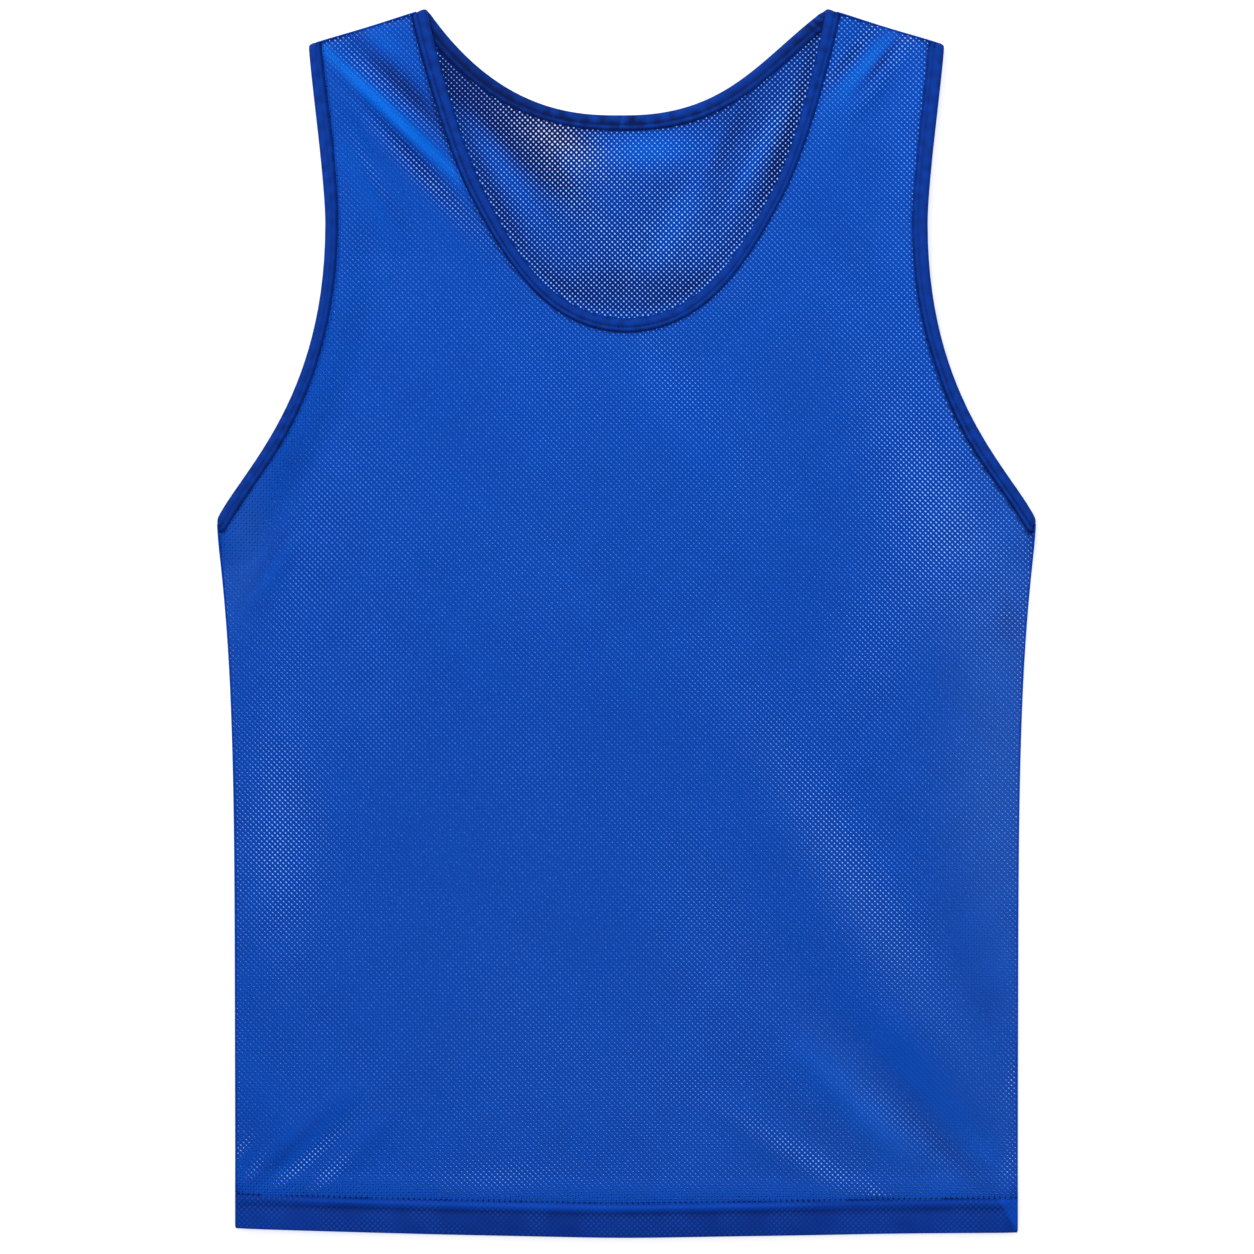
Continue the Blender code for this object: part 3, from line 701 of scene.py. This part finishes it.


# how each binding lies along its edge: share of the edge, width, depth of the groove along its middle,
# strength of the line along its inner edge (its stitches, the painted shade there and the painted shadow on
# the net beside it), change of tone
rightLie = ((0, 9.4, 0.15, 0.35, 0.04), (0.35, 9, 0.2, 0.4, 0.04), (0.5, 8.8, 0.25, 0.7, 0.03),
            (0.65, 8, 0.5, 1, 0), (0.8, 8.8, 0.6, 1.25, 0), (1, 8, 0.8, 1.15, 0))
leftLie = ((0, 7.4, 0, 0.6, 0.02), (0.2, 8.2, 0, 0.55, 0.04), (0.35, 7.2, 0.1, 0.5, 0.03),
           (0.6, 7, 0.1, 0.45, 0), (0.8, 7.6, 0.2, 0.45, -0.04), (1, 7.6, 0.1, 0.4, -0.05))
frontNeckLie = ((0, 9.6, 0.5, 1, 0), (0.2, 9, 0.8, 1, 0), (0.35, 7.4, 0.8, 1.1, 0), (0.5, 8.6, 0.8, 0.9, 0),
                (0.65, 7.2, 0.5, 0.5, 0.06), (0.8, 7, 0.4, 0.35, 0.04), (1, 8.6, 0.3, 0.35, 0.02))
backNeckLie = ((0, 8.9, 0.4, 0.5, -0.24), (0.2, 8.6, 0.4, 0.5, -0.3), (0.35, 8.4, 0.5, 0.6, -0.2),
               (0.5, 8.9, 0.7, 0.9, -0.04), (0.65, 9.2, 0.6, 1, 0.02), (0.8, 8.8, 0.3, 0.5, 0),
               (1, 8.9, 0.2, 0.4, -0.2))
hiddenLie = ((0, 8.9, 0.5, 0.7, 0), (1, 8.9, 0.5, 0.7, 0))


# The columns of such a table at shares of the edge, straight between its rows.
def lieAt(share, lie):
    rows = np.array(lie)
    return np.stack([np.interp(share, rows[:, 0], column) for column in rows[:, 1:].T], axis=1)


# A bell of painted shadow on the net where it goes under a binding, half a millimetre in from its inner edge.
def edgeShade(points, table, share, lie):
    width, groove, line, tone = lieAt(share, lie).T
    return line * np.exp(-((fromTable(points, table) - width - 0.5) / 0.7) ** 2)


# Painted sheen and shade of creases over an even tone, painted light paler to the top, painted light and
# shade along the fine waves, darker where stretched open, and painted shadow where it goes under bindings.
def frontTone(points):
    x, y = points.T
    alongArm = shareAlong(armhole, 1, y)
    shade = (edgeShade(points, fromFrontNeck, shareAlong(frontNeck, 0, x), frontNeckLie)
             + edgeShade(points, fromRightArmhole, alongArm, rightLie)
             + edgeShade(points, fromLeftArmhole, alongArm, leftLie))
    tone = net["tone"] + net["paintedTopLight"] * smooth(y, -100, 330) + net["sheenAndShade"] * spots(points, frontSheenAndShade)
    tone = tone + net["waveLightAndShade"] * fineFolds(points)
    tone = tone + net["openTone"] * np.maximum(stretchedOpen(points), 0)
    return np.clip(tone + net["edgeShadow"] * shade, 0, 1)


# The same for the back: painted sheen and shade in the neck, painted shade inside the neckline and in the
# shadow of the front neck's binding there, and painted shadow where it goes under the back neck's binding.
def backTone(points):
    bare = neckOpen(points)
    shaded = np.exp(-(fromTable(points, fromFrontNeck) / net["neckShadeReach"]) ** 2) * bare
    tone = net["tone"] + net["neckInsideShade"] * bare + net["sheenAndShade"] * spots(points, backSheenAndShade)
    tone = tone + net["neckShade"] * shaded
    shade = edgeShade(points, fromBackNeck, shareAlong(backNeck, 0, points[:, 0]), backNeckLie)
    return np.clip(tone + net["backEdgeShadow"] * shade, 0, 1)


# One panel's net as an upper and a lower piece, which share the points where they meet.
def netPieces(name, neckLine, eyeletSide, shift, height, toneAt, paleSheenSpots, up, node):
    pieces = []
    lattice, plan, faces = latticeNet(insidePanel(neckLine), eyeletSide, shift)
    points = np.column_stack([plan, height(plan)])
    tone, paleSheen = toneAt(plan), spots(plan, paleSheenSpots)
    upper = plan[faces[:, 0], 1] > net["split"]
    for part, chosen in (("Upper", faces[upper]), ("Lower", faces[~upper])):
        used, renumbered = np.unique(chosen, return_inverse=True)
        quads = renumbered.reshape(chosen.shape)
        if not up:
            quads = quads[:, ::-1]
        piece = addPiece(name + part, points[used], quads, meshCloth, lattice[used], tone[used], node,
                         paleSheen=paleSheen[used])
        pieces.append((piece, np.ptp(points[used], axis=0)[:2], len(quads) / 3 * net["pitch"] ** 2))
        print(f"{name}{part}: {len(quads) * 2} triangles")
    return pieces


# white laminate table, matt, with painted light: under the vest it glows sky blue and is painted sky blue,
# standing in for light that has gone through the blue net and come back up, and beside the vest it glows
# white.
table = {"white": "#c8c8ca", "under": "#8cb6f6", "paintedBlueGlow": "#77b0f7", "glowBeside": "#d2d2d3",
         "plain": {"Roughness": 0.9, "Emission Strength": 0.9}, "halfSize": 4000.0, "step": 5.0, "fade": 6.0,
         "bare": 0.85}


# 1 under the vest, falling off over the last few millimetres to its outline: the product of S curves from
# the sides or armholes, the shoulders, the back neckline and the hem.
def underVest(points):
    x, y = points.T
    neckY = np.interp(x, backNeck[:, 0], backNeck[:, 1], left=999.0, right=999.0)
    depths = (*depthInside(points), neckY - y, y - hemY(x))
    inside = np.prod([smooth(depth, 0.0, table["fade"]) for depth in depths], axis=0)
    return inside * (1 - table["bare"] * np.clip(spots(points, backOpenSpots[:1]), 0, 1))


# A flat grid, 5 mm fine round the vest, with one wide row of quads round that.
def tableTop():
    material, tree, shader = newMaterial("mattLaminate", table["plain"])
    under = addNode(tree, "Attribute", attribute_name="under")
    # painted light: glow and colour turn sky blue where the vest lies over the table
    for socket, away, below in (("Emission Color", "glowBeside", "paintedBlueGlow"),
                                ("Base Color", "white", "under")):
        tint = addNode(tree, "Mix", {0: under.outputs["Fac"], 6: table[away], 7: table[below]},
                       data_type="RGBA")
        setInputs(tree, shader, {socket: tint.outputs[2]})
    end = table["halfSize"]
    wide, high = (np.concatenate([[-end], np.arange(-near, near + 1, table["step"]), [end]])
                  for near in -tableLow)
    x, y = np.meshgrid(wide, high, indexing="xy")
    points = np.stack([x, y, np.zeros_like(x)], axis=2).reshape(-1, 3)
    mesh = bpy.data.meshes.new("table")
    mesh.from_pydata(points * mm, [], gridQuads(*x.shape).tolist())
    mesh.attributes.new("under", "FLOAT", "POINT").data.foreach_set("value", underVest(points[:, :2]))
    mesh.materials.append(material)
    newObject("table", mesh)


tableTop()
backNets = netPieces("backNet", backNeck, backEyelet, backShift, backHeight, backTone, (), False,
                     "back_panel")
frontNets = netPieces("frontNet", frontNeck, frontEyelet, np.zeros_like, frontHeight, frontTone, frontPaleSheen,
                      True, "front_panel")
print("nets knitted")

# bindings: a strip folded over the edge, stitched along its edge and along its middle
binding = {
    "width": 8.9, "blend": 12.6, "stationGap": 0.7, "turnSteps": 26, "turnGap": 0.45,
    "rows": (5.4, 8.1),       # rows of stitches, in from the fold
    "stitch": 2.3, "dimple": 0.24, "dimpleWide": 0.55, "ripple": 0.13, "sunk": 0.45,
    # painted shade and highlights across the strip, distance in, half width, change: everywhere, in the
    # groove, along the inner edge
    "tone": 0.5, "paintedShading": ((0.6, 1.0, -0.08), (2.6, 1.6, 0.10)),
    "groovePaintedShading": ((5.4, 0.6, -0.24), (6.9, 0.7, 0.30)), "edgeLineShade": ((8.3, 0.65, -0.40),),
    # painted shade and highlights across the strip on the back only
    "backPaintedShading": ((1.0, 1.0, 0.14), (4.9, 2.2, -0.20), (7.3, 0.7, 0.12)),
    # painted shade and highlights along the creases, stronger on the back, and painted shade in the stitches'
    # dimples
    "creaseShade": 0.09, "backCreaseShade": 0.16, "dimpleShade": -0.45, "stitchWide": 0.5,
}
# marks across the neck binding on the back, its join and its puckers by the right shoulder, as painted
# shade and painted highlights: x, half width, change of tone, lean
neckMarks = (
    (-3.4, 0.5, -0.35, 0.2), (-1.4, 0.7, 0.28, 0.25), (3.9, 2.0, -0.3, 0.1), (8.4, 0.6, -0.2, 0.3),
    (12.6, 0.7, 0.14, 0.3), (-22.0, 0.6, -0.14, 0.2), (26.0, 0.7, -0.12, 0.2),
    (102.6, 0.5, -0.4, 0.0), (104.2, 0.5, 0.25, 0.0), (105.8, 0.5, -0.4, 0.0), (107.4, 0.5, 0.25, 0.0),
    (109.0, 0.5, -0.4, 0.0), (111.2, 0.5, -0.3, 0.0),
)
# half of its section: distance in from the folded edge, height over the middle
bindingSection = np.array((
    (0.0, 0.0), (0.12, 0.75), (0.5, 1.28), (1.2, 1.62), (2.3, 1.78), (3.4, 1.76), (4.4, 1.62), (5.0, 1.45),
    (5.4, 1.36), (5.8, 1.45), (6.4, 1.56), (7.1, 1.42), (7.6, 1.12), (8.0, 0.9), (8.5, 0.72), (8.9, 0.3),
))


# The part of a line on the vest's side of a fold, ending exactly on it.
def cutAtFold(line, fold):
    past = (line - fold[0]) @ fold[1]
    last = np.nonzero((past[:-1] < 0) != (past[1:] < 0))[0][0]
    share = past[last] / (past[last] - past[last + 1])
    crossing = line[last] + share * (line[last + 1] - line[last])
    return np.vstack([line[:last + 1], crossing]) if past[0] < 0 else np.vstack([crossing, line[last + 1:]])


# Stations along a bound edge and the way in at each, square to the edge and turning to the fold at its ends.
def boundEdge(line, startFold, endFold):
    line = cutAtFold(cutAtFold(line, startFold), endFold)
    length = lengthsAlong(line)[-1]
    points = evenly(line, int(length / binding["stationGap"]) + 1)
    tangent = np.gradient(points, axis=0)
    tangent /= np.hypot(*tangent.T)[:, None]
    inward = np.stack([tangent[:, 1], -tangent[:, 0]], axis=1)
    along = np.linspace(0, length, len(points))
    for fromEnd, fold, index in ((along, startFold, 0), (length - along, endFold, -1)):
        ending = fold[2] / (fold[2] @ inward[index])
        share = np.clip(1 - fromEnd / binding["blend"], 0, 1)[:, None]
        inward = inward * (1 - share) + ending * share
    return points, inward


# Slanting creases of a strip eased round a curve: two sines along it, each leaning with the distance in.
def creases(along, distance):
    strength = 0.6 + 0.4 * np.sin(along / 29)
    return strength * (np.sin(along / 1.9 + distance * 0.45 + 1.3 * np.sin(along / 11))
                       + 0.7 * np.sin(along / 1.2 - distance * 0.3 + np.sin(along / 17)))


# The pull of the stitches on the strip: a cosine along it times a bell across each row.
def stitchPull(along, distance, strengths, halfWidth):
    pull = 0.5 + 0.5 * np.cos(2 * np.pi * along / binding["stitch"])
    return sum(strength * pull * np.exp(-((distance - row) / halfWidth) ** 2)
               for row, strength in zip(binding["rows"], strengths))


# Height of the strip over its middle: its section, less a dimple at each stitch, with slow ripples.
def stripSkin(along, distance, strengths):
    height = np.interp(distance, *bindingSection.T)
    height = height - binding["dimple"] * stitchPull(along, distance, strengths, binding["dimpleWide"])
    return height + (binding["ripple"] * creases(along, distance)
                     * smooth(distance, 0.4, 3) * (1 - smooth(distance, 6.5, 8.9)))


# How far the edge still runs along a fold for each millimetre that it runs out over it.
def slant(points, fold):
    heading = points[0] - points[2]
    return (heading @ fold[2]) / (heading @ fold[1])


# A closed ring: the section laid along the front edge, rolled over a fold, along the back, and rolled up.
def bindingPiece(name, frontEdge, backEdge, startFold, endFold, node, marks=()):
    distance = np.concatenate([bindingSection[:, 0], bindingSection[:0:-1, 0]])
    sign = np.concatenate([np.ones(len(bindingSection)), -np.ones(len(bindingSection) - 1)])
    shares = np.linspace(0, 1, binding["turnSteps"] + 1)[1:-1]
    mix = shares[:, None]
    endTurn, startTurn = ([(1 - mix) * front[end] + mix * back[end]
                           for front, back in zip(frontEdge, backEdge)] for end in (-1, 0))
    point, inward, lie = (np.vstack([front, ending, back[::-1], starting[::-1]])
                          for front, ending, back, starting in zip(frontEdge, endTurn, backEdge, startTurn))
    width, groove, line, tone = lie.T[:, :, None]
    angle = np.concatenate([np.zeros(len(frontEdge[0])), np.pi * shares, np.full(len(backEdge[0]), np.pi),
                            np.pi * shares[::-1]])[:, None]
    onFront, onBack = angle == 0, angle == np.pi
    out, slide = np.zeros((2, len(point), 2))
    for first, fold, way, share in ((len(frontEdge[0]), endFold, -1, shares),
                                    (len(point) - len(shares), startFold, 1, shares[::-1])):
        fromFront, fromBack = (slant(edge[0][::way], fold) for edge in (frontEdge, backEdge))
        turning = slice(first, first + len(shares))
        out[turning] = fold[1]
        slide[turning] = np.outer(fromFront * (1 - share) + fromBack * share, fold[2])
    plan = point[:, None, :] + inward[:, None, :] * (distance * width / binding["width"])[..., None]
    flat = plan.reshape(-1, 2)
    frontZ, backZ = (level(flat).reshape(plan.shape[:2]) for level in (frontLevel, backLevel))
    steps = np.linalg.norm(np.diff(point, axis=0, append=point[:1]), axis=1)
    steps[~(onFront | onBack)[:, 0]] = binding["turnGap"]
    along = np.concatenate([[0.0], np.cumsum(steps)[:-1]])[:, None]
    height = stripSkin(along, distance, (groove, np.minimum(line, 1))) * sign
    radius = (frontZ - backZ) / 2 + height
    z = np.where(onFront, frontZ + height,
                 np.where(onBack, backZ - height, (frontZ + backZ) / 2 + radius * np.cos(angle)))
    swing = np.where(onFront | onBack, 0.0, radius * np.sin(angle))
    remains = 1 - distance / binding["width"]
    place = plan + out[:, None, :] * swing[..., None] + slide[:, None, :] * (swing * remains)[..., None]
    points = np.concatenate([place, np.maximum(z, lowest)[..., None]], axis=2)
    quads = gridQuads(*points.shape[:2], closeRows=True, closeColumns=True)
    flatPoints = points.reshape(-1, 3)
    uv = np.stack(np.broadcast_arrays(along, distance * sign), axis=2).reshape(-1, 2)
    # the strip's tone: painted shade and highlights across its section, in its groove, along its inner edge,
    # along its creases and in its stitches' dimples, and the marks
    shade = binding["tone"] + tone + bells(distance, binding["paintedShading"])
    shade = shade + onBack * bells(distance, binding["backPaintedShading"])
    shade = shade + groove * bells(distance, binding["groovePaintedShading"])
    shade = shade + line * bells(distance, binding["edgeLineShade"])
    creaseShade = np.where(onBack, binding["backCreaseShade"], binding["creaseShade"])
    shade = shade + creases(along, distance) * creaseShade
    shade = shade + binding["dimpleShade"] * stitchPull(along, distance, (groove, line), binding["stitchWide"])
    for middle, halfWidth, change, lean in marks:
        past = (point[:, :1] + lean * distance - middle) / halfWidth
        shade = shade + onBack * change * np.exp(-past ** 2)
    piece = addPiece(name, flatPoints, outward(flatPoints, quads), tricot, uv, np.clip(shade, 0, 1).ravel(),
                     node, "strip")
    # rows of stitches above and below, sunk where they hardly show
    rows = []
    for side in (1, -1):
        for row, strength in zip(binding["rows"], (groove, line)):
            nearest = np.argmin(np.abs(bindingSection[:, 0] - row))
            path = points[:, nearest if side > 0 else len(distance) - nearest].copy()
            sunk = np.where(onFront, side, -side) * binding["sunk"] * np.maximum(1 - strength, 0)
            path[:, 2] -= sunk[:, 0]
            rows.append((path, side))
    print(f"{name}: {len(quads) * 2} triangles, {along[-1, 0]:.0f} mm round")
    return piece, rows


# An edge's stations with the way its strip lies at each.
def laid(edge, lie):
    return *edge, lieAt(np.linspace(0, 1, len(edge[0])), lie)


# a fold is a point on it, the way out over it and the way along it
shoulderPoint = np.array(vest["shoulder"]) - shoulderOut * vest["turnReach"]
rightShoulder = (shoulderPoint, shoulderOut, shoulderAlong)
leftShoulder = mirrored(rightShoulder)
armFolds = ((shoulderPoint, shoulderOut, -shoulderAlong),
            (np.array(vest["underarm"]) - sideOut * vest["turnReach"], sideOut, sideAlong))
frontNeckEdge, backNeckEdge = (boundEdge(neck, leftShoulder, rightShoulder) for neck in (frontNeck, backNeck))
armholeEdge = boundEdge(armhole, *armFolds)
leftArmholeEdge = mirrored(armholeEdge)
neckBinding, neckRows = bindingPiece(
    "neckBinding", laid(frontNeckEdge, frontNeckLie), laid(backNeckEdge, backNeckLie), leftShoulder,
    rightShoulder, "neck_binding", neckMarks)
rightBinding, rightRows = bindingPiece(
    "armholeBindingRight", laid(armholeEdge, rightLie), laid(armholeEdge, hiddenLie), *armFolds,
    "armhole_binding_right")
leftBinding, leftRows = bindingPiece(
    "armholeBindingLeft", laid(leftArmholeEdge, leftLie), laid(leftArmholeEdge, hiddenLie),
    *(mirrored(fold) for fold in armFolds), "armhole_binding_left")

# hems: the mesh turned up 20 mm behind itself and stitched
hem = {
    "columnGap": 1.05, "stitch": 3.1, "row": 20.0, "dimple": 0.35, "dimpleWide": 0.7, "dimpleShade": -0.4,
    # rows of points on the outer ply: its top, their gap on front and back, and their gap low down
    "top": 21.2, "gaps": (0.4, 1.2), "coarseFrom": 12.0, "coarseGap": 1.3,
    "innerRows": (4.0, 9.0, 14.0, 19.6), "turnSteps": 8,
    # swells of the front hem over its plies: height above the edge, half width, rise
    "swells": ((17.2, 1.9, 0.85), (8.0, 5.5, 0.35), (13.2, 1.1, -0.35), (20.0, 0.8, -0.4)),
    "ripple": 0.10, "endFlat": 9.0, "endDrop": 1.4, "topDrop": 0.25,
    # painted light and shade on the outer ply: a deep base tone, a painted highlight on the ridge under the
    # stitches and painted shade in the crease below it (height above the edge, half width, change), and less
    # painted shade on the low band where the ridge is flat
    "tone": 0.2, "paintedShading": ((17.3, 2.1, 0.75), (13.2, 1.4, -0.2), (7.0, 4.0, 0.05)), "bandTone": 0.2,
    "bandTop": 12.0,
    "endX": 222.5, "endLean": 0.55, "endTone": 0.6,     # at the right the dark band ends on a slant
}


# A band: down its outer ply from the stitches, round the bottom fold, and up its inner ply behind.
def hemPiece(name, up, node):
    radius = vest["hemRadius"]
    down = np.concatenate([np.arange(hem["top"], hem["coarseFrom"], -hem["gaps"][not up]),
                           np.arange(hem["coarseFrom"], hem["coarseGap"], -hem["coarseGap"]), [radius]])
    turnAngle = np.linspace(0, np.pi, hem["turnSteps"] + 1)[1:]
    height = np.concatenate([down, np.full(len(turnAngle), radius), hem["innerRows"]])
    angle = np.concatenate([np.zeros(len(down)), turnAngle, np.full(len(hem["innerRows"]), np.pi)])[:, None]
    limit = sideX(-340.0) - 0.4
    columns = np.linspace(-limit, limit, int(2 * limit / hem["columnGap"]) + 1)
    x, h = np.meshgrid(columns, height, indexing="xy")
    outside = angle == 0
    foldY = hemY(x)
    y = foldY + h - radius * np.sin(angle)
    pulled = np.exp(-((h - hem["row"]) / hem["dimpleWide"]) ** 2) * (
        0.5 - 0.5 * np.cos(2 * np.pi * (x + limit) / hem["stitch"]))
    sunk = radius * (1 - np.cos(angle))
    z = np.full_like(x, vest["cloth"] / 2)
    if up:
        sideways = smooth(limit - np.abs(x), 0.0, hem["endFlat"])
        uneven = 1 + 0.25 * np.sin(x / 31) + 0.15 * np.sin(x / 13 + 1)
        swell = bells(h, hem["swells"]) * uneven - hem["dimple"] * pulled
        swell += hem["ripple"] * np.sin(x / 5.1 + h * 0.35 + 1.2 * np.sin(x / 37)) * smooth(h, 1.25, 5)
        z = z + 3 * vest["ply"] + outside * swell * sideways - hem["endDrop"] * (1 - sideways)
        z = z - outside * smooth(h, hem["top"] - 1, hem["top"]) * hem["topDrop"] - sunk
    else:
        z = z + sunk
    points = np.stack([x, y, z], axis=2)
    flatY = np.where(outside, y, foldY - (np.pi * radius) - (h - radius))
    lattice = toLattice(np.stack([x, flatY], axis=2).reshape(-1, 2))
    beyondEnd = smooth(x + hem["endLean"] * h, hem["endX"] - 0.6, hem["endX"] + 1.2) * up
    # both ends lie flat, so the painted ridge highlight hardly shows there and the band below it has less
    # painted shade
    ridge = 0.25 + 0.35 * smooth(x, -205, -170) + 0.4 * smooth(x, -150, -60) - 0.55 * smooth(x, 60, 130)
    # painted highlight on the ridge under the stitches and painted shade in the crease below it, on the outer
    # ply
    tone = hem["tone"] + bells(h, hem["paintedShading"]) * outside * ridge
    tone = tone + hem["bandTone"] * (1 - ridge) * (h < hem["bandTop"])
    # the band's painted shade lifts past the slant at the right end; painted shade in each stitch's dimple
    tone = np.clip(tone + hem["endTone"] * beyondEnd + hem["dimpleShade"] * pulled, 0, 1)
    quads = gridQuads(*x.shape)[:, ::-1 if up else 1]
    piece = addPiece(name, points.reshape(-1, 3), quads, hemCloth, lattice, tone.ravel(), node)
    print(f"{name}: {len(quads) * 2} triangles")
    return piece, points[np.argmin(np.abs(down - hem["row"]))]


frontHem, frontHemRow = hemPiece("frontHem", True, "front_panel")
backHem, backHemRow = hemPiece("backHem", False, "back_panel")

# side and shoulder seams: the two nets closed together by a narrow rolled edge, which lies lower by the hem
seam = {"halfWidth": 0.55, "over": 0.3, "gap": 3.0, "sides": 10, "tone": 0.75, "low": -1.0, "lowUpTo": 30.0,
        "ends": (-2.0, 0.8), "cornerX": 223.0, "sideCount": 90, "fromNeck": 6.0, "fromArm": 4.0}


# An oval tube along a line, as wide as the seam and as high as the two nets lie apart there.
def seamPiece(name, line, out):
    spine = evenly(line, int(lengthsAlong(line)[-1] / seam["gap"]) + 1)
    front, back = frontLevel(spine), backLevel(spine)
    front = front + np.where(spine[:, 1] - hemY(spine[:, 0]) < seam["lowUpTo"], seam["low"], 0.0)
    middle, half = (front + back) / 2, (front - back) / 2 + seam["over"]
    angle = np.linspace(0, 2 * np.pi, seam["sides"], endpoint=False)
    plan = spine[:, None, :] + out * (seam["halfWidth"] * np.cos(angle))[:, None]
    z = middle[:, None] + half[:, None] * np.sin(angle)
    rings = np.concatenate([plan, np.maximum(z, lowest)[..., None]], axis=2)
    points = rings.reshape(-1, 3)
    quads = outward(points, gridQuads(*rings.shape[:2], closeColumns=True))
    first, last = np.arange(seam["sides"]), len(points) - 1 - np.arange(seam["sides"])
    lids = (first, last) if facesOut(points, quads, first) else (first[::-1], last[::-1])
    tone = np.full(len(points), seam["tone"])
    return addPiece(name, points, quads, hemCloth, toLattice(points[:, :2]), tone, lids=lids)


sideStart = vest["underarm"][1] + seam["ends"][0]
rightY, leftY = (np.linspace(sideStart, hemY(np.array([cornerX]))[0] + seam["ends"][1], seam["sideCount"])
                 for cornerX in (seam["cornerX"], -seam["cornerX"]))
sideInset = sideX(rightY) - seam["halfWidth"]
sideSeams = [seamPiece(name, np.stack([x, y], axis=1), np.array((1.0, 0.0)))
             for name, x, y in (("sideSeamRight", sideInset, rightY), ("sideSeamLeft", -sideInset, leftY))]
topX = np.array((vest["neckX"] + seam["fromNeck"], vest["shoulder"][0] - seam["fromArm"]))
topY = vest["top"] + (topX - vest["neckX"]) * shoulderAlong[1] / shoulderAlong[0]
rightTop = np.stack([topX, topY], axis=1) - shoulderOut * seam["halfWidth"]
shoulderSeams = [seamPiece("shoulderSeamRight", rightTop, shoulderOut),
                 seamPiece("shoulderSeamLeft", *mirrored((rightTop, shoulderOut)))]
print("hems and seams closed")

# stitches: each a short sunk thread; length, lift and thickness on the bindings and on the hem
stitching = {"edge": (1.7, 0.05, 0.3), "hem": (1.5, 0.85, 0.38), "sides": 4, "lowest": 0.02,
             "lookAhead": 0.4}


# Short spindles along each path, one a pitch: 3 rings of 4 corners, thick in the middle, with lidded ends.
def stitchPiece(name, paths, pitch, length, lift, thick):
    profile = np.array((-1.0, 0.0, 1.0))
    swell = np.array((0.55, 1.0, 0.55))
    angle = np.linspace(0, 2 * np.pi, stitching["sides"], endpoint=False)
    blocks = []
    for path, up in paths:
        along = lengthsAlong(path)
        at = np.arange(pitch * 0.5, along[-1], pitch)
        spot, ahead = (np.stack([np.interp(where, along, column) for column in path.T], axis=1)
                       for where in (at, at + stitching["lookAhead"]))
        direction = ahead - spot
        direction /= np.maximum(np.linalg.norm(direction, axis=1), 1e-9)[:, None]
        across = np.cross(direction, np.broadcast_to((0.0, 0.0, 1.0), direction.shape))
        across /= np.maximum(np.linalg.norm(across, axis=1), 1e-9)[:, None]
        raised = np.cross(across, direction)
        centre = spot[:, None, :] + direction[:, None, :] * profile[:, None] * length / 2
        centre = centre + raised[:, None, :] * (up * lift * (1 - 0.6 * profile ** 2))[:, None]
        ring = across[:, None, :] * np.cos(angle)[:, None] + raised[:, None, :] * np.sin(angle)[:, None]
        blocks.append((centre[:, :, None, :] + ring[:, None, :, :] * (thick * swell)[:, None, None]))
    rings = np.concatenate(blocks)
    count, rows, sides = rings.shape[:3]
    around = np.arange(sides)
    quads = np.vstack([gridQuads(rows, sides, closeColumns=True), around[::-1], around + (rows - 1) * sides])
    quads = (quads[None] + (np.arange(count) * rows * sides)[:, None, None]).reshape(-1, 4)
    points = rings.reshape(-1, 3)
    points[:, 2] = np.maximum(points[:, 2], stitching["lowest"])
    piece = addPiece(name, points, outward(points, quads), thread)
    print(f"{name}: {count} stitches, {len(quads) * 2} triangles")
    return piece


edgeStitches = [stitchPiece(name, rows, binding["stitch"], *stitching["edge"]) for name, rows in (
    ("neckStitches", neckRows), ("armholeStitchesRight", rightRows), ("armholeStitchesLeft", leftRows))]
hemStitches = stitchPiece("hemStitches", [(frontHemRow, 1), (backHemRow, -1)], hem["stitch"],
                          *stitching["hem"])
print("stitches sewn")

# soft studio light from above, the larger lamp towards the neck and left; places and sizes in metres
lamps = {
    "key": {"place": (-1.2, 1.8, 1.8), "size": 1.6, "watts": 42.0},
    "top": {"place": (0.1, 0.25, 3.0), "size": 1.0, "watts": 31.0},
}
for name, lamp in lamps.items():
    light = bpy.data.lights.new(name, "AREA")
    light.size = lamp["size"]
    light.energy = lamp["watts"]
    holder = newObject(name, light)
    holder.location = lamp["place"]
    holder.rotation_euler = (-Vector(lamp["place"])).to_track_quat("-Z", "Y").to_euler()
    holder.visible_camera = False
room = {"colour": "#f6f8ff", "strength": 0.45}
world = bpy.data.worlds.new("studio")
world.use_nodes = True
world.node_tree.nodes["Background"].inputs[0].default_value = hexColor(room["colour"])
world.node_tree.nodes["Background"].inputs[1].default_value = room["strength"]
bpy.context.scene.world = world
bpy.context.scene.view_settings.view_transform = "Standard"

# the photo looks straight down; 715 mm of the vest, 3 mm over the table, fill its width; height in metres
view = {"height": 4.0, "clothHeight": 0.003, "middle": (0.3, -2.6), "width": 714.8}
camera = bpy.data.cameras.new("camera")
camera.sensor_width = 36.0
camera.lens = camera.sensor_width * (view["height"] - view["clothHeight"]) / (view["width"] * mm)
camera.clip_end = 20.0
eye = newObject("camera", camera)
eye.location = (view["middle"][0] * mm, view["middle"][1] * mm, view["height"])
bpy.context.scene.camera = eye
